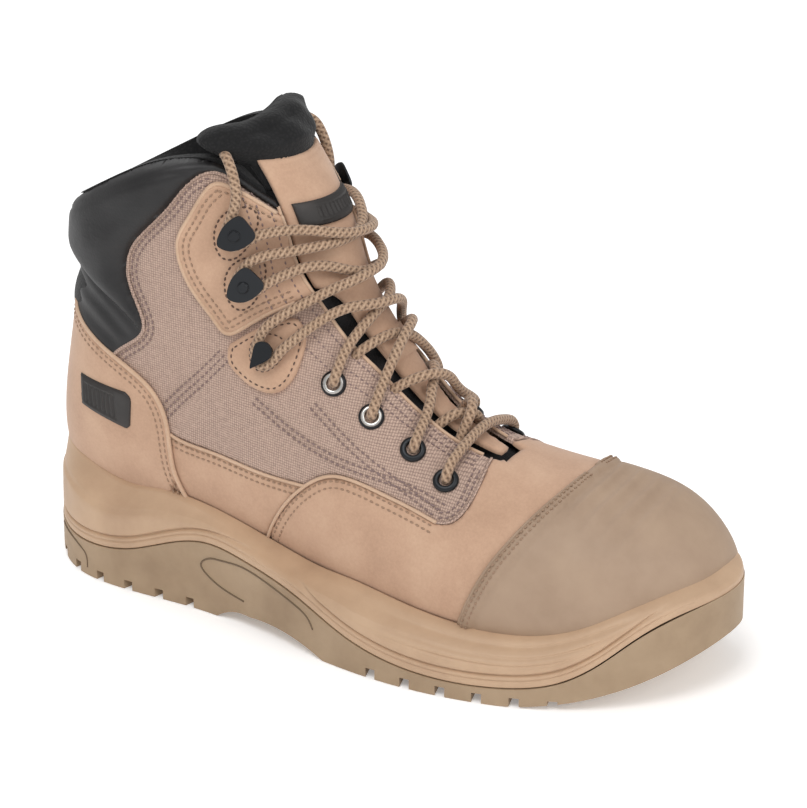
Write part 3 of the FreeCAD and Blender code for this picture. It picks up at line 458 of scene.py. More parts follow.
class Shade:
    """A small helper round one node material."""

    def __init__(self, name, base, rough, **sockets):
        self.mat = bpy.data.materials.new(name)
        self.mat.use_nodes = True
        self.tree = self.mat.node_tree
        self.tree.nodes.clear()
        self.out = self.add("ShaderNodeOutputMaterial")
        self.bsdf = self.add("ShaderNodeBsdfPrincipled")
        self.link(self.bsdf.outputs[0], self.out.inputs[0])
        self.bsdf.inputs["Base Color"].default_value = colour(base)
        self.bsdf.inputs["Roughness"].default_value = rough
        for k, v in sockets.items():
            self.bsdf.inputs[k.replace("_", " ")].default_value = v
        self.coord = self.add("ShaderNodeTexCoord")
        self.height = None

    def add(self, kind, **props):
        n = self.tree.nodes.new(kind)
        for k, v in props.items():
            setattr(n, k, v)
        return n

    def link(self, a, b):
        self.tree.links.new(a, b)

    def noise(self, size_mm, detail=3, rough=0.55, coord="Object", stretch=(1, 1, 1)):
        n = self.add("ShaderNodeTexNoise")
        n.inputs["Scale"].default_value = (1 / MM if coord == "Object" else 1) / size_mm
        n.inputs["Detail"].default_value = detail
        n.inputs["Roughness"].default_value = rough
        m = self.add("ShaderNodeMapping")
        m.inputs["Scale"].default_value = stretch
        self.link(self.coord.outputs[coord], m.inputs[0])
        self.link(m.outputs[0], n.inputs[0])
        return n.outputs["Fac"]

    def cells(self, size_mm, feature="F1"):
        n = self.add("ShaderNodeTexVoronoi", feature=feature)
        n.inputs["Scale"].default_value = 1 / MM / size_mm
        self.link(self.coord.outputs["Object"], n.inputs["Vector"])
        return n.outputs["Distance"]

    def math(self, op, a, b=None, c=None):
        n = self.add("ShaderNodeMath", operation=op)
        for k, v in enumerate((a, b, c)):
            if v is None:
                continue
            if isinstance(v, (int, float)):
                n.inputs[k].default_value = v
            else:
                self.link(v, n.inputs[k])
        return n.outputs[0]

    def ramp(self, fac, stops):
        n = self.add("ShaderNodeValToRGB")
        while len(n.color_ramp.elements) < len(stops):
            n.color_ramp.elements.new(0.5)
        for e, (at, c) in zip(n.color_ramp.elements, stops):
            e.position, e.color = at, colour(c)
        self.link(fac, n.inputs[0])
        return n.outputs[0]

    def mix(self, fac, a, b, mode="MIX"):
        n = self.add("ShaderNodeMix", data_type="RGBA", blend_type=mode)
        for sock, v in ((n.inputs[0], fac), (n.inputs[6], a), (n.inputs[7], b)):
            if isinstance(v, str):
                sock.default_value = colour(v)
            elif isinstance(v, (int, float)):
                sock.default_value = v
            else:
                self.link(v, sock)
        return n.outputs[2]

    def paint(self, out):
        self.link(out, self.bsdf.inputs["Base Color"])

    def rough(self, out, low, high):
        n = self.add("ShaderNodeMapRange")
        n.inputs["To Min"].default_value, n.inputs["To Max"].default_value = low, high
        self.link(out, n.inputs["Value"])
        self.link(n.outputs[0], self.bsdf.inputs["Roughness"])

    def bump(self, height, depth_mm, strength=1.0):
        n = self.add("ShaderNodeBump")
        n.inputs["Distance"].default_value = depth_mm * MM
        n.inputs["Strength"].default_value = strength
        self.link(height, n.inputs["Height"])
        if self.height is not None:
            self.link(self.height.outputs[0], n.inputs["Normal"])
        self.height = n
        self.link(n.outputs[0], self.bsdf.inputs["Normal"])


def nubuck(name, light, mid, dark, rough=0.86):
    """Sanded leather: soft cloudy colour, a fine nap and a few faint scuffs."""
    s = Shade(name, mid, rough, Sheen_Weight=0.18, Sheen_Roughness=0.5)
    cloud = s.noise(26, 4, 0.6)
    fine = s.noise(1.1, 4, 0.7)
    tone = s.math("ADD", s.math("MULTIPLY", cloud, 0.65), s.math("MULTIPLY", fine, 0.35))
    s.paint(s.ramp(tone, [(0.30, dark), (0.5, mid), (0.70, light)]))
    s.bump(s.noise(0.45, 3, 0.6), 0.05, 0.5)
    s.bump(s.noise(5, 3, 0.5), 0.12, 0.4)
    s.rough(fine, rough - 0.06, rough + 0.08)
    return s.mat


def weave(name, light, mid, dark, pitch):
    """Plain-woven canvas: over-and-under threads with slubs, one cell per thread crossing, painted
    shade between threads.
    """
    s = Shade(name, mid, 0.9, Sheen_Weight=0.1)
    sep = s.add("ShaderNodeSeparateXYZ")
    s.link(s.coord.outputs["Object"], sep.inputs[0])
    warp = s.math("MULTIPLY", s.noise(9, 2), 0.45)
    u = s.math("ADD", s.math("MULTIPLY", sep.outputs[0], 1 / MM / pitch), warp)
    v = s.math("ADD", s.math("MULTIPLY", sep.outputs[2], 1 / MM / pitch), warp)
    v = s.math("ADD", v, s.math("MULTIPLY", u, 0.12))
    cell = s.math("FLOORED_MODULO", s.math("ADD", s.math("FLOOR", u), s.math("FLOOR", v)), 2)
    su = s.math("SINE", s.math("MULTIPLY", s.math("FRACT", u), math.pi))
    sv = s.math("SINE", s.math("MULTIPLY", s.math("FRACT", v), math.pi))
    over = s.math("MULTIPLY", su, s.math("MULTIPLY_ADD", sv, 0.45, 0.55))
    under = s.math("MULTIPLY", sv, s.math("MULTIPLY_ADD", su, 0.45, 0.55))
    h = s.math("ADD", s.math("MULTIPLY", over, cell),
               s.math("MULTIPLY", under, s.math("SUBTRACT", 1, cell)))
    slub = s.noise(1.7, 3, 0.7)
    # The slub and crossing tones are the cloth's own; the h term is painted shade, darker in the dips
    # between threads.
    tone = s.math("ADD", s.math("MULTIPLY", h, 0.55), s.math("MULTIPLY", slub, 0.5))
    tone = s.math("ADD", tone, s.math("MULTIPLY", cell, 0.06))
    s.paint(s.ramp(tone, [(0.28, dark), (0.55, mid), (0.85, light)]))
    s.bump(h, 0.22, 0.8)
    s.bump(slub, 0.08, 0.4)
    return s.mat


def smooth_leather(name, base, grain, rough):
    """Black collar leather: soft grain of small cells and fine wrinkles."""
    s = Shade(name, base, rough)
    s.bump(s.cells(grain), 0.08, 0.45)
    s.bump(s.noise(7, 4, 0.6, stretch=(1, 1, 2.2)), 0.5, 0.35)
    s.rough(s.noise(12, 3), rough - 0.08, rough + 0.1)
    s.paint(s.ramp(s.noise(18, 4), [(0.3, "#121112"), (0.7, "#1B191A")]))
    return s.mat


def rubber(name, light, mid, dark, rough, grain=0.6):
    """Moulded rubber or foam: an even colour with a fine moulded texture and faint dirt."""
    s = Shade(name, mid, rough)
    s.paint(s.ramp(s.noise(30, 5, 0.6), [(0.3, dark), (0.5, mid), (0.72, light)]))
    s.bump(s.noise(grain, 3, 0.6), 0.04, 0.5)
    s.rough(s.noise(8, 3), rough - 0.06, rough + 0.08)
    return s.mat


def knit(name, base, light, size):
    """Spacer mesh of the lining and the tongue pad: rows of small open cells."""
    s = Shade(name, base, 0.95, Sheen_Weight=0.1)
    c = s.cells(size)
    s.paint(s.ramp(c, [(0.0, light), (0.55, base)]))
    s.bump(c, 0.3, 0.7)
    return s.mat


def metal(name, base, rough, metallic):
    """Painted or plated metal with a slightly uneven finish."""
    s = Shade(name, base, rough, Metallic=metallic)
    s.rough(s.noise(3, 3), rough - 0.05, rough + 0.08)
    return s.mat


def braid(name):
    """Round braided lace: strands winding both ways, three browns, flecks, and painted shade darkening
    the grooves between strands.
    """
    s = Shade(name, "#B9977A", 0.85, Sheen_Weight=0.2)
    sep = s.add("ShaderNodeSeparateXYZ")
    s.link(s.coord.outputs["UV"], sep.inputs[0])
    a = s.math("MULTIPLY", sep.outputs[0], 1 / 2.5)
    b = s.math("MULTIPLY", sep.outputs[1], 4 / (2 * math.pi * 2.1))
    one = s.math("FRACT", s.math("ADD", a, b))
    two = s.math("FRACT", s.math("SUBTRACT", a, b))
    h1 = s.math("SINE", s.math("MULTIPLY", one, math.pi))
    h2 = s.math("SINE", s.math("MULTIPLY", two, math.pi))
    h = s.math("MAXIMUM", h1, h2)
    pick = s.math("GREATER_THAN", h1, h2)
    # Painted shade: the grooves between strands (low h) darker and their crowns lighter; pick and the
    # noise give the strands' own tone and flecks.
    tone = s.math("ADD", s.math("MULTIPLY", h, 0.5), s.math("MULTIPLY", pick, 0.1))
    tone = s.math("ADD", tone, s.math("MULTIPLY", s.noise(0.9, 2), 0.4))
    s.paint(s.ramp(tone, [(0.40, "#65503F"), (0.60, "#94775F"), (0.86, "#C0A389")]))
    s.bump(h, 0.4, 0.8)
    return s.mat


M_NUBUCK = nubuck("nubuck_sand", "#CCAA8F", "#C09C82", "#B08D74")
M_CANVAS = weave("canvas_taupe", "#C8AC9B", "#AE9486", "#877167", 1.0)
M_SCUFF = rubber("scuff_cap_coated_leather", "#AC937C", "#A48B75", "#9A816B", 0.62, 0.5)
M_COLLAR = smooth_leather("collar_leather_black", "#1B1A1B", 1.1, 0.5)
M_MIDSOLE = rubber("midsole_sand_foam", "#C4A587", "#BB9C7F", "#B09175", 0.5, 0.8)
M_TREAD = rubber("tread_rubber_brown", "#A99176", "#9F876C", "#927A60", 0.62, 0.7)
M_KNIT = knit("spacer_mesh_black", "#0C0C0D", "#1D1C1D", 1.3)
M_PAD = knit("tongue_pad_knit_black", "#0C0C0D", "#1D1C1D", 1.3)
M_BLACK_CLOTH = knit("black_webbing", "#1B1A1B", "#2C2A2C", 0.8)
M_HOOK = metal("hook_black_metal", "#25272A", 0.34, 0.6)
M_RING = metal("eyelet_plated_ring", "#C8C6C2", 0.28, 1.0)
M_STEEL = metal("bare_steel", "#9A9B9C", 0.35, 1.0)
M_LABEL = rubber("label_black_rubber", "#3A3532", "#2B2725", "#221F1D", 0.55, 0.5)
M_LACE = braid("lace_braid_brown")
M_TIP = Shade("lace_tip_film", "#5C4838", 0.25).mat
M_THREAD = Shade("thread_sand", "#9A7F69", 0.8).mat
M_THREAD_MAUVE = Shade("thread_mauve", "#85706B", 0.8).mat
M_THREAD_DARK = Shade("thread_dark", "#5D4A3F", 0.8).mat
M_BOARD = rubber("insole_board", "#9D8A72", "#8F7C65", "#7F6D58", 0.9)
M_FOOTBED = knit("footbed_cloth_black", "#171617", "#2B2A2C", 1.6)

LOOKS = {
    "outsole": M_TREAD, "arch_panel_lateral": M_TREAD, "arch_panel_medial": M_TREAD,
    "midsole": M_MIDSOLE, "steel_shank": M_STEEL, "insole_board": M_BOARD, "footbed": M_FOOTBED,
    "steel_toe_cap": M_STEEL, "toe_cap_edge_strip": M_LABEL, "heel_stiffener": M_BOARD,
    "padding_layer_lateral": M_KNIT, "padding_layer_medial": M_KNIT, "lining": M_KNIT,
    "tongue": M_NUBUCK, "tongue_gusset": M_BLACK_CLOTH, "tongue_top_leather": M_NUBUCK,
    "tongue_top_pad": M_PAD, "tongue_label": M_LABEL, "heel_label": M_LABEL,
    "lace_keeper": M_NUBUCK, "eyelets_plain": M_HOOK, "eyelets_ringed": M_HOOK,
    "plate_hooks": M_HOOK, "tab_hooks": M_HOOK, "hook_rivets": M_HOOK, "lace_tips": M_TIP,
}
for name, mat in LOOKS.items():
    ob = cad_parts[name]
    ob.data.materials.clear()
    ob.data.materials.append(mat)

# ---- stitch rows -------------------------------------------------------------------------------
EYELETS = [(5.59, 0.178), (6.19, 0.170), (7.01, 0.202), (7.87, 0.234)]
TAB_HOOK = (9.31, 0.307)
PLATE_HOOKS = [(10.86, 0.279), (12.33, 0.263)]


def ring_line(t, q, side, a, b, lean=0.0):
    """A closed oval line round a fitting, a and b being its half sizes in mm."""
    along, round_, _ = directions(t, side * q)
    w = np.linspace(0, 2 * np.pi, 90)
    x, y = a * np.cos(w), b * np.sin(w) * (1 + 0.22 * np.cos(w))
    x, y = x * math.cos(lean) - y * math.sin(lean), x * math.sin(lean) + y * math.cos(lean)
    target = form(t, side * q) + np.outer(x, round_ * side) + np.outer(y, along)
    tt, qq = locate(target, np.full(90, t), np.full(90, side * q))
    return np.stack([tt, qq], 1)


for s in (-1, 1):
    row(VAMP_WING[1:], s, (2.0 * s, 4.6 * s), 0.0, "sand", ("vamp",))
    row(QUARTER_NOSE[:4], s, (-2.0 * s, -4.2 * s), 0.0, "mauve", ("quarter",))
    row(TOE_EDGE[1:], s, (1.3 * s, 3.3 * s), 2.75, "sand", ("toe",), pitch=2.3)
    row(COUNTER_EDGE[:-1], s, (2.2 * s, 4.6 * s), PANEL, "sand", ("counter",))
    row(FOXING_TOP[:5], s, (-2.0 * s, -4.4 * s), 0.0, "sand", ("foxing",))
    row(FACING_TOP[4:15], s, (-2.4 * s, -4.8 * s), PANEL, "sand", ("facing",))
    row(FACING_TOP[:5], s, (-2.4 * s,), PANEL, "sand", ("facing",))
    row(TAB + TAB[:1], s, (-2.0 * s,), PANEL, "dark", ("tab",))
    row(CANVAS_BACK[:10], s, (2.0 * s, 4.2 * s), 0.0, "mauve", ("quarter",))
    row([(-84, 77), (-72, 90), (-62, 100), (-53, 110)], s, (-2.6, 0, 2.6), 0.0, "mauve",
        ("quarter",))
    row([(-14, 96), (6, 82), (26, 72), (44, 64.5)], s, (-1.4, 1.4), 0.0, "mauve", ("quarter",))
    row([(-40, 93), (-20, 82), (4, 74.6), (30, 70), (46, 65.5)], s, (0, 2.6), 0.0, "mauve",
        ("quarter",))
    for t, q in PLATE_HOOKS:
        row(ring_line(t, q, s, 10.4, 8.8), s, (0,), PANEL, "dark", ("facing",), pitch=2.4)
    row(ring_line(*TAB_HOOK, s, 9.4, 6.2, 0.5), s, (0,), PANEL, "dark", ("tab",), pitch=2.4)

# ---- the upper ---------------------------------------------------------------------------------
def wave_relief(t, q, p, far):
    return 0.25 * np.sin(p[:, 0] / 9.0 + p[:, 2] / 13.0) * np.clip(far / 8, 0, 1)


def with_dent(mark, extra=None):
    """The stitch relief of a skin, plus one more."""
    d = dent(mark)
    if extra is None:
        return d
    return lambda t, q, p, far: d(t, q, p, far) + extra(t, q, p, far)


def line_tree(points):
    """Distance to a line of the side view, as it runs over both sides of the form."""
    tree = tree_of(np.concatenate([form(*line_on_form(points, k).T) for k in (-1, 1)]))
    return lambda p: gaps(tree, p)


from_toe_edge = line_tree(TOE_EDGE)


def toe_ribs(t, q, p, far):
    """A raised strip along the rear edge of the scuff cap, and four low ribs across its top."""
    away = from_toe_edge(p)
    strip = 0.8 * np.clip((5.2 - away) / 0.6, 0, 1) - 0.5 * np.exp(-((away - 5.7) / 0.6) ** 2)
    x, y = p[:, 0], p[:, 1]
    bow = x + 0.006 * (y - 4) ** 2
    rib = sum(np.exp(-((bow - at) / 1.6) ** 2) for at in (99.5, 107, 114.5, 121.5))
    wide = np.clip((27 - np.abs(y - 2)) / 9, 0, 1) * np.clip((p[:, 2] - 50) / 6, 0, 1)
    return strip + 1.5 * rib * wide


def side_range(side, near, far):
    """The q range of a panel between two distances from the ridge, on one side of the boot."""
    return (near, far) if side > 0 else (-far, -near)


patch("vamp_leather", (0.35, 8.6), (-0.86, 0.86), 1.1, vamp_in, 0.0, PANEL, 0.9, M_NUBUCK,
      with_dent("vamp"), ("vamp",))
for word, s in (("lateral", -1), ("medial", 1)):
    patch("foxing_leather_" + word, (6.0, 13.5), side_range(s, 0.36, 1.0), 1.2, foxing_in, -0.1,
          1.6, 0.8, M_NUBUCK, with_dent("foxing"), ("foxing_" + word,))
    patch("quarter_canvas_" + word, (4.8, 15.9), side_range(s, 0.03, 0.8), 0.9, quarter_in, -0.2,
          1.5, 0.8, M_CANVAS, with_dent("quarter", wave_relief), ("quarter_" + word,))
    patch("upper_facing_leather_" + word, (7.5, 15.9), side_range(s, 0.05, 0.62), 0.8, facing_in,
          PANEL, 1.9, 0.9, M_NUBUCK, with_dent("facing"), ("upper_facing_" + word,))
    patch("hook_tab_leather_" + word, (7.6, 11.5), side_range(s, 0.15, 0.55), 0.7, tab_in, 1.9,
          2.0, 0.9, M_NUBUCK, with_dent("tab"), ("hook_tab_" + word,))
patch("toe_scuff_cap", (0.3, 5.3), (-0.9, 0.9), 0.9, toe_in, PANEL, PANEL, 1.0, M_SCUFF,
      with_dent("toe", toe_ribs), ("toe_overlay",))
patch("heel_counter_leather", (9.5, 15.5), (0.45, 1.55), 1.0, counter_in, PANEL, 1.8, 1.0,
      M_NUBUCK, with_dent("counter"), ("heel_counter_cover",))


def dome(x):
    """0 at 0, rising like a quarter of a circle to 1 at 1."""
    return np.sqrt(np.maximum(1 - (1 - np.clip(x, 0, 1)) ** 2, 0))


COLLAR_SEAM = [(-175, 152), (-150, 146), (-130, 140), (-120, 135.5), (-111, 131), (-99, 124.5),
               (-90, 116), (-84, 108)]
from_top = line_tree(COLLAR_TOP)
from_canvas = line_tree(CANVAS_BACK)
seam_loop = outline([COLLAR_SEAM, [(-84, 108), (-20, 120)], [(-20, 120), (-20, 260)],
                     [(-20, 260), (-175, 260)]])
RIM = -2.6  # depth of the rolled rim between the outer pad and the lining


def collar_puff(t, q, p, far):
    """The big soft pad of the collar, its rolled rim, and the flatter flap under its seam."""
    down, side = from_top(p), from_canvas(p)
    above_seam = inside(p[:, (0, 2)], seam_loop)
    pad = 6.6 * dome(np.clip(above_seam, 0, 9) / 9) * dome(side / 10)
    pad = pad * (1 - 0.10 * np.exp(-((down - 5.2) / 0.9) ** 2))
    x, z = p[:, 0], p[:, 2]
    soft = 0.5 * np.sin(z * 0.16 + x * 0.11 + 2.0) + 0.35 * np.sin(z * 0.31 - x * 0.17)
    fold = 0.4 * np.sin(z * 0.62 + 0.35 * x + 1.2 * np.sin(x * 0.13))
    under = np.clip(-above_seam / 3, 0, 1)
    puff = pad + soft * np.clip(above_seam / 8, 0, 1) * dome(side / 10) \
        + under * (0.6 + fold * np.clip(-above_seam / 8, 0, 1) * np.clip(side / 5, 0, 1))
    roll = dome(down / np.interp(x, (-125, -80), (22.0, 9.0)))
    return (puff + 0.6) * roll + RIM * (1 - roll)


collar_pad = patch("collar_outer_pad", (9.0, 16.0), (0.1, 1.9), 1.1, collar_in, -0.6, 2.2, 0.4,
                   M_COLLAR, collar_puff, ("collar_pad",))


def inner_puff(t, q, p, far):
    """The lining side of the collar pad, thick at the top and thin further down."""
    down = from_top(p)
    roll = dome(down / 9.0)
    lump = 0.5 * np.sin(p[:, 0] * 0.21) + 0.5 * np.sin(p[:, 2] * 0.3)
    low = np.clip((46 - down) / 14, 0, 1)
    return -(7.4 + lump) * roll * low - 6.9 * (1 - low) + (RIM - 0.6) * (1 - roll)


def inner_band(p):
    return np.minimum(50 - from_top(p), under_collar(p))


patch("collar_inner_lining", (9.5, 16.0), (0.1, 1.9), 1.5,
      both(inner_band, off_slit), 0.0, 1.0, 0.3, M_KNIT, inner_puff, inner=True)

# ---- the tongue --------------------------------------------------------------------------------
FACE_TOP = [(-70, 187), (-52, 189), (-40, 188), (0, 186)]


def tongue_half(x):
    """Half width of the tongue: clear of the facings where the lace passes under them."""
    room = np.where(x > -8, -6.0, np.minimum(-6.0 + 5.2 * (-8 - x) / 12.0, -0.8))
    return np.interp(x, SLIT[::-1, 0], SLIT[::-1, 1]) + room


def tongue_in(p):
    d = tongue_half(p[:, 0]) - np.abs(p[:, 1] - CENTRE_Y + SLIT_SHIFT)
    top = np.interp(p[:, 0], *np.array(FACE_TOP).T) - p[:, 2]
    return np.min([d, top, 56 - p[:, 0], p[:, 2] - 62], axis=0)


def tongue_shape(t, q, p, far):
    return 0.4 * np.sin(p[:, 2] / 8.0) * np.clip(far / 6, 0, 1)


for drop in (2.6, 5.2):
    y = np.linspace(-16, 13, 60) + CENTRE_Y - SLIT_SHIFT
    target = np.stack([np.full(60, -36.0), y, np.full(60, 188.3 - drop)], 1)
    tt, qq = locate(target, np.full(60, 12.9), np.sign(y - 1e-3) * 0.08, (1, 2), 12)
    row(np.stack([tt, qq], 1), 1, (0,), 0.0, "sand", ("tongue",))
ob = patch("tongue_leather", (5.2, 15.0), (-0.3, 0.3), 0.9, tongue_in, 0.0, 1.7, 0.8, M_NUBUCK,
           with_dent("tongue", tongue_shape), body=None)
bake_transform(ob)
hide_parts("tongue", "tongue_top_leather")

PAD = outline([[(-19, 177), (-20, 187)], [(-20, 187), (-27, 190.5), (-30.5, 195.5), (-27.5, 200.5),
              (-17, 203), (-5, 204.4), (8, 205.8), (20, 205.6), (27, 201.5), (26, 195.5), (19, 188.5)],
              [(19, 188.5), (16.5, 177)]])


def pad_in(p):
    return inside(p[:, (1, 2)], PAD)


def pad_face(sign):
    def relief(t, q, p, far):
        y, z = p[:, 1], p[:, 2]
        clear = np.clip((z - 186.5) / 5, 0, 1)
        lumps = 0.8 * np.sin(y * 0.19 + 1.0) + 0.5 * np.sin(y * 0.4 + z * 0.3)
        crease = -1.6 * np.exp(-((z - 199 - 0.12 * y) / 1.6) ** 2) * np.clip((12 - y) / 8, 0, 1)
        edge = dome(far / 8)
        if sign > 0:
            return np.where(z > 186, (6.6 + lumps + crease) * clear * edge, 0) - 4.6 + 2.4 * edge
        return -(6.4 + 0.5 * lumps) * edge - 4.6
    return relief


tongue_pad = patch("tongue_pad_front", (11.9, 16.0), (-0.34, 0.34), 0.9, pad_in, 0.0, 0.8, 0.2,
                   M_PAD, pad_face(1), ("tongue_top_pad",), body="tongue_top")
patch("tongue_pad_back", (11.9, 16.0), (-0.34, 0.34), 1.1, pad_in, 0.0, 0.8, 0.2,
      M_PAD, pad_face(-1), body="tongue_top", inner=True)

# ---- the midsole -------------------------------------------------------------------------------
SOLE = [(-154, 5.7), (-146, 29.6), (-126, 43.1), (-95, 48.3), (-55, 43.1), (-10, 43.1), (30, 52.5),
        (62, 59.8), (95, 59.8), (125, 49.4), (146, 30.6), (154, 10.9), (148, -14.1), (128, -35.9),
        (98, -51.5), (62, -59.8), (25, -59.8), (-20, -50.5), (-60, -42.2), (-95, -41.1),
        (-126, -34.9), (-146, -17.2)]
TOP_EDGE = [(-170, 55), (-150, 53.5), (-138, 51), (-125, 46.5), (-110, 43), (-98, 43),
            (-86, 45), (-75, 44.6), (-62, 43), (-45, 39), (-28, 34.6), (-10, 31.6), (8, 31),
            (28, 28.8), (45, 26.8), (62, 25.4), (80, 25), (95, 26.2), (106, 29), (118, 34),
            (130, 40), (138, 43), (146, 45.2), (154, 46.5), (170, 48)]
WAVE = [(-170, 17), (-140, 15.5), (-112, 15.6), (-96, 18.5), (-76, 26), (-58, 30.4), (-39, 29),
        (-8, 23), (15, 14.5), (38, 8.8), (57, 6.8), (85, 7.2), (106, 11.4), (120, 20),
        (132, 30.5), (143, 37.5), (170, 42)]


def height_of(run):
    fine = smooth(run, 0.5)
    return lambda x: np.interp(x, fine[:, 0], fine[:, 1])


lip_z, wave_z = height_of(TOP_EDGE), height_of(WAVE)
ring = smooth(SOLE[-4:] + SOLE + SOLE[:5], 0.5)
near = np.linalg.norm(ring - SOLE[0], axis=1)
ring = ring[np.argmin(near[:len(near) // 2]):len(near) // 2 + np.argmin(near[len(near) // 2:])]
N_RING, N_ROWS = 520, 110
s_len = np.r_[0, np.cumsum(np.linalg.norm(np.diff(np.r_[ring, ring[:1]], axis=0), axis=1))]
at = np.linspace(0, s_len[-1], N_RING, endpoint=False)
ring = np.stack([np.interp(at, s_len, np.r_[ring[:, k], ring[:1, k]]) for k in (0, 1)], 1)
tangent = np.roll(ring, -1, 0) - np.roll(ring, 1, 0)
inward = unit(np.stack([tangent[:, 1], -tangent[:, 0]], 1))
if ((-ring) * inward).sum() < 0:
    inward = -inward
skin_t, skin_q = np.meshgrid(np.linspace(0.02, 12.5, 260), np.linspace(-0.995, 0.995, 240))
skin_p = form(skin_t, skin_q).reshape(-1, 3)
skin_n = directions(skin_t, skin_q)[2].reshape(-1, 3)
skin_tree = tree_of(skin_p)
upper_in = np.zeros(N_RING)
for k in range(N_RING):
    for d in np.arange(0, 24, 0.5):
        x, y = ring[k] + inward[k] * d
        at_p = np.array([x, y, lip_z(x)])
        n = skin_tree.find(at_p)[1]
        if (at_p - skin_p[n]) @ skin_n[n] < 1.8:
            break
    upper_in[k] = d
span = 9
upper_in = np.convolve(np.r_[upper_in[-span:], upper_in, upper_in[:span]],
                       np.ones(2 * span + 1) / (2 * span + 1), "valid")


def ease(x):
    x = np.clip(x, 0, 1)
    return x * x * (3 - 2 * x)


bm = bmesh.new()
bmesh.ops.create_grid(bm, x_segments=N_RING, y_segments=N_ROWS, size=0.5)
co = np.array([v.co[:] for v in bm.verts])
i = np.rint((co[:, 0] + 0.5) * N_RING).astype(int) % N_RING
w = np.clip(co[:, 1] + 0.5, 0, 1) * N_ROWS
x0 = ring[i, 0]
zt, zw, du = lip_z(x0), wave_z(x0), upper_in[i]
face = np.clip((w - 6) / (N_ROWS - 10), 0, 1)  # 0 at the lip, 1 at the rubber
z = zt + (zw - zt) * face
tall = zt - zw
lip = 1 - ease(face / 0.5)
inset = 0.35 + (du - 2.6) * (0.62 * lip + 0.38 * np.clip(1 - face * 3.2, 0, 1)) + 0.9 * (1 - face) ** 2
inset += 2.2 * np.clip(1 - (zt - z) / 1.8, 0, 1) ** 2
up = z - zw
inset += 1.25 * np.exp(-((up - 5.4) / 0.6) ** 2) * np.clip((tall - 6) / 3, 0.35, 1)
inset += 0.5 * np.exp(-((up - 3.2) / 0.35) ** 2) * np.clip((tall - 6) / 3, 0.35, 1)
fore = np.clip((x0 - 20) / 40, 0, 1)
for drop in (3.2, 6.0, 8.8, 11.6):
    inset += 0.75 * np.exp(-((zt - z - drop) / 0.6) ** 2) * fore * np.clip((up - 7.6) / 2, 0, 1)
heel = np.clip((-70 - x0) / 25, 0, 1)
inset += 1.4 * heel * ease((zt - z - 0.42 * tall) / -2.5) * 0.6
inset += 1.1 * np.clip((0.8 - up) / 0.8, 0, 1) ** 2
inset = np.maximum(inset, 0.1)
start = np.clip(w / 6, 0, 1)
inset = np.where(w < 6, du + 3.0 - (3.0 - 0.2) * start + (inset - du) * start ** 4, inset)
z = np.where(w < 6, zt - 4.5 * (1 - start) ** 1.5 + 0.25 * np.sin(start * np.pi), z)
tail = np.clip((w - N_ROWS + 4) / 4, 0, 1)
inset = inset + tail * 7.5
z = z + tail * 0.25
place = np.c_[ring[i] + inward[i] * inset[:, None], z]
for v, c in zip(bm.verts, place):
    v.co = c
bmesh.ops.remove_doubles(bm, verts=bm.verts, dist=0.02)
bmesh.ops.recalc_face_normals(bm, faces=bm.faces)
bmesh.ops.scale(bm, vec=(MM, MM, MM), verts=bm.verts)
midsole = finish_object("midsole_cup", bm, M_MIDSOLE, replaces=("midsole",))
if midsole.data.polygons[len(midsole.data.polygons) // 2].normal.dot(
        midsole.data.polygons[len(midsole.data.polygons) // 2].center) < 0:
    midsole.data.flip_normals()

# ---- edges, labels and fittings ------------------------------------------------------------------
M_EDGE = nubuck("nubuck_cut_edge", "#D3B69C", "#C9A98E", "#B8977C", 0.8)


def edge_bead(name, points, side, lift, radius, material=M_EDGE, keep=None):
    """The thin light edge of a folded leather panel."""
    line = line_on_form(points, side)
    p = form(line[:, 0], line[:, 1]) + directions(line[:, 0], line[:, 1])[2] * lift
    if keep is not None:
        p = p[keep(p)]
    if len(p) > 4:
        s_ = np.r_[0, np.cumsum(np.linalg.norm(np.diff(p, axis=0), axis=1))]
        x = np.linspace(0, s_[-1], max(int(s_[-1] / 1.2), 4))
        p = np.stack([np.interp(x, s_, p[:, k]) for k in range(3)], 1)
        tube(name, p, radius, 8, material)


for word, side in (("lateral", -1), ("medial", 1)):
    clear_slit = lambda p: off_slit(p) > 0.4
    edge_bead("vamp_wing_edge_" + word, VAMP_WING[1:], side, 0.15, 0.75, keep=clear_slit)
    edge_bead("foxing_edge_" + word, FOXING_TOP[:6], side, 0.05, 0.7)
    edge_bead("counter_edge_" + word, COUNTER_EDGE, side, 1.0, 0.95)
    edge_bead("facing_edge_" + word, FACING_TOP[1:15], side, 0.9, 0.95, keep=clear_slit)
    edge_bead("quarter_nose_edge_" + word, QUARTER_NOSE, side, -0.1, 0.55, M_CANVAS,
              keep=clear_slit)
    edge_bead("canvas_back_edge_" + word, CANVAS_BACK[:11], side, 0.1, 0.8, M_CANVAS)
    edge_bead("toe_cap_edge_" + word, TOE_EDGE[1:], side, 1.1, 0.8, M_SCUFF)

# The slit's own edges: a binding along the canvas and facings, with rows of stitching beside it.
T_SLIT = np.linspace(5.35, 14.2, 240)
for word, side in (("lateral", -1), ("medial", 1)):
    for extra, kind in ((0.0, None), (2.2, "mauve"), (5.0, "mauve"), (7.2, "mauve")):
        q = []
        for t in T_SLIT[::6]:
            fine = np.linspace(0.001, 0.3, 400) * side
            d = off_slit(form(np.full(400, t), fine), extra)
            q.append(fine[np.argmax(d > 0)])
        line = np.stack([T_SLIT, np.interp(T_SLIT, T_SLIT[::6], q)], 1)
        high = form(line[:, 0], line[:, 1])
        line, high = line[under_collar(high) > 1.5], high[under_collar(high) > 1.5]
        in_facing = facing_in(high + np.array([0.0, 3.0 * side, 0.0])) > 0
        if kind is None:
            p = high + directions(line[:, 0], line[:, 1])[2] * np.where(in_facing, 1.2, -0.3)[:, None]
            tube("slit_binding_" + word, p, 0.75, 8, M_EDGE)
        else:
            ROWS.append((line[in_facing], PANEL, "mauve", (), 2.5))
            ROWS.append((line[~in_facing], 0.0, "mauve", (), 2.5))

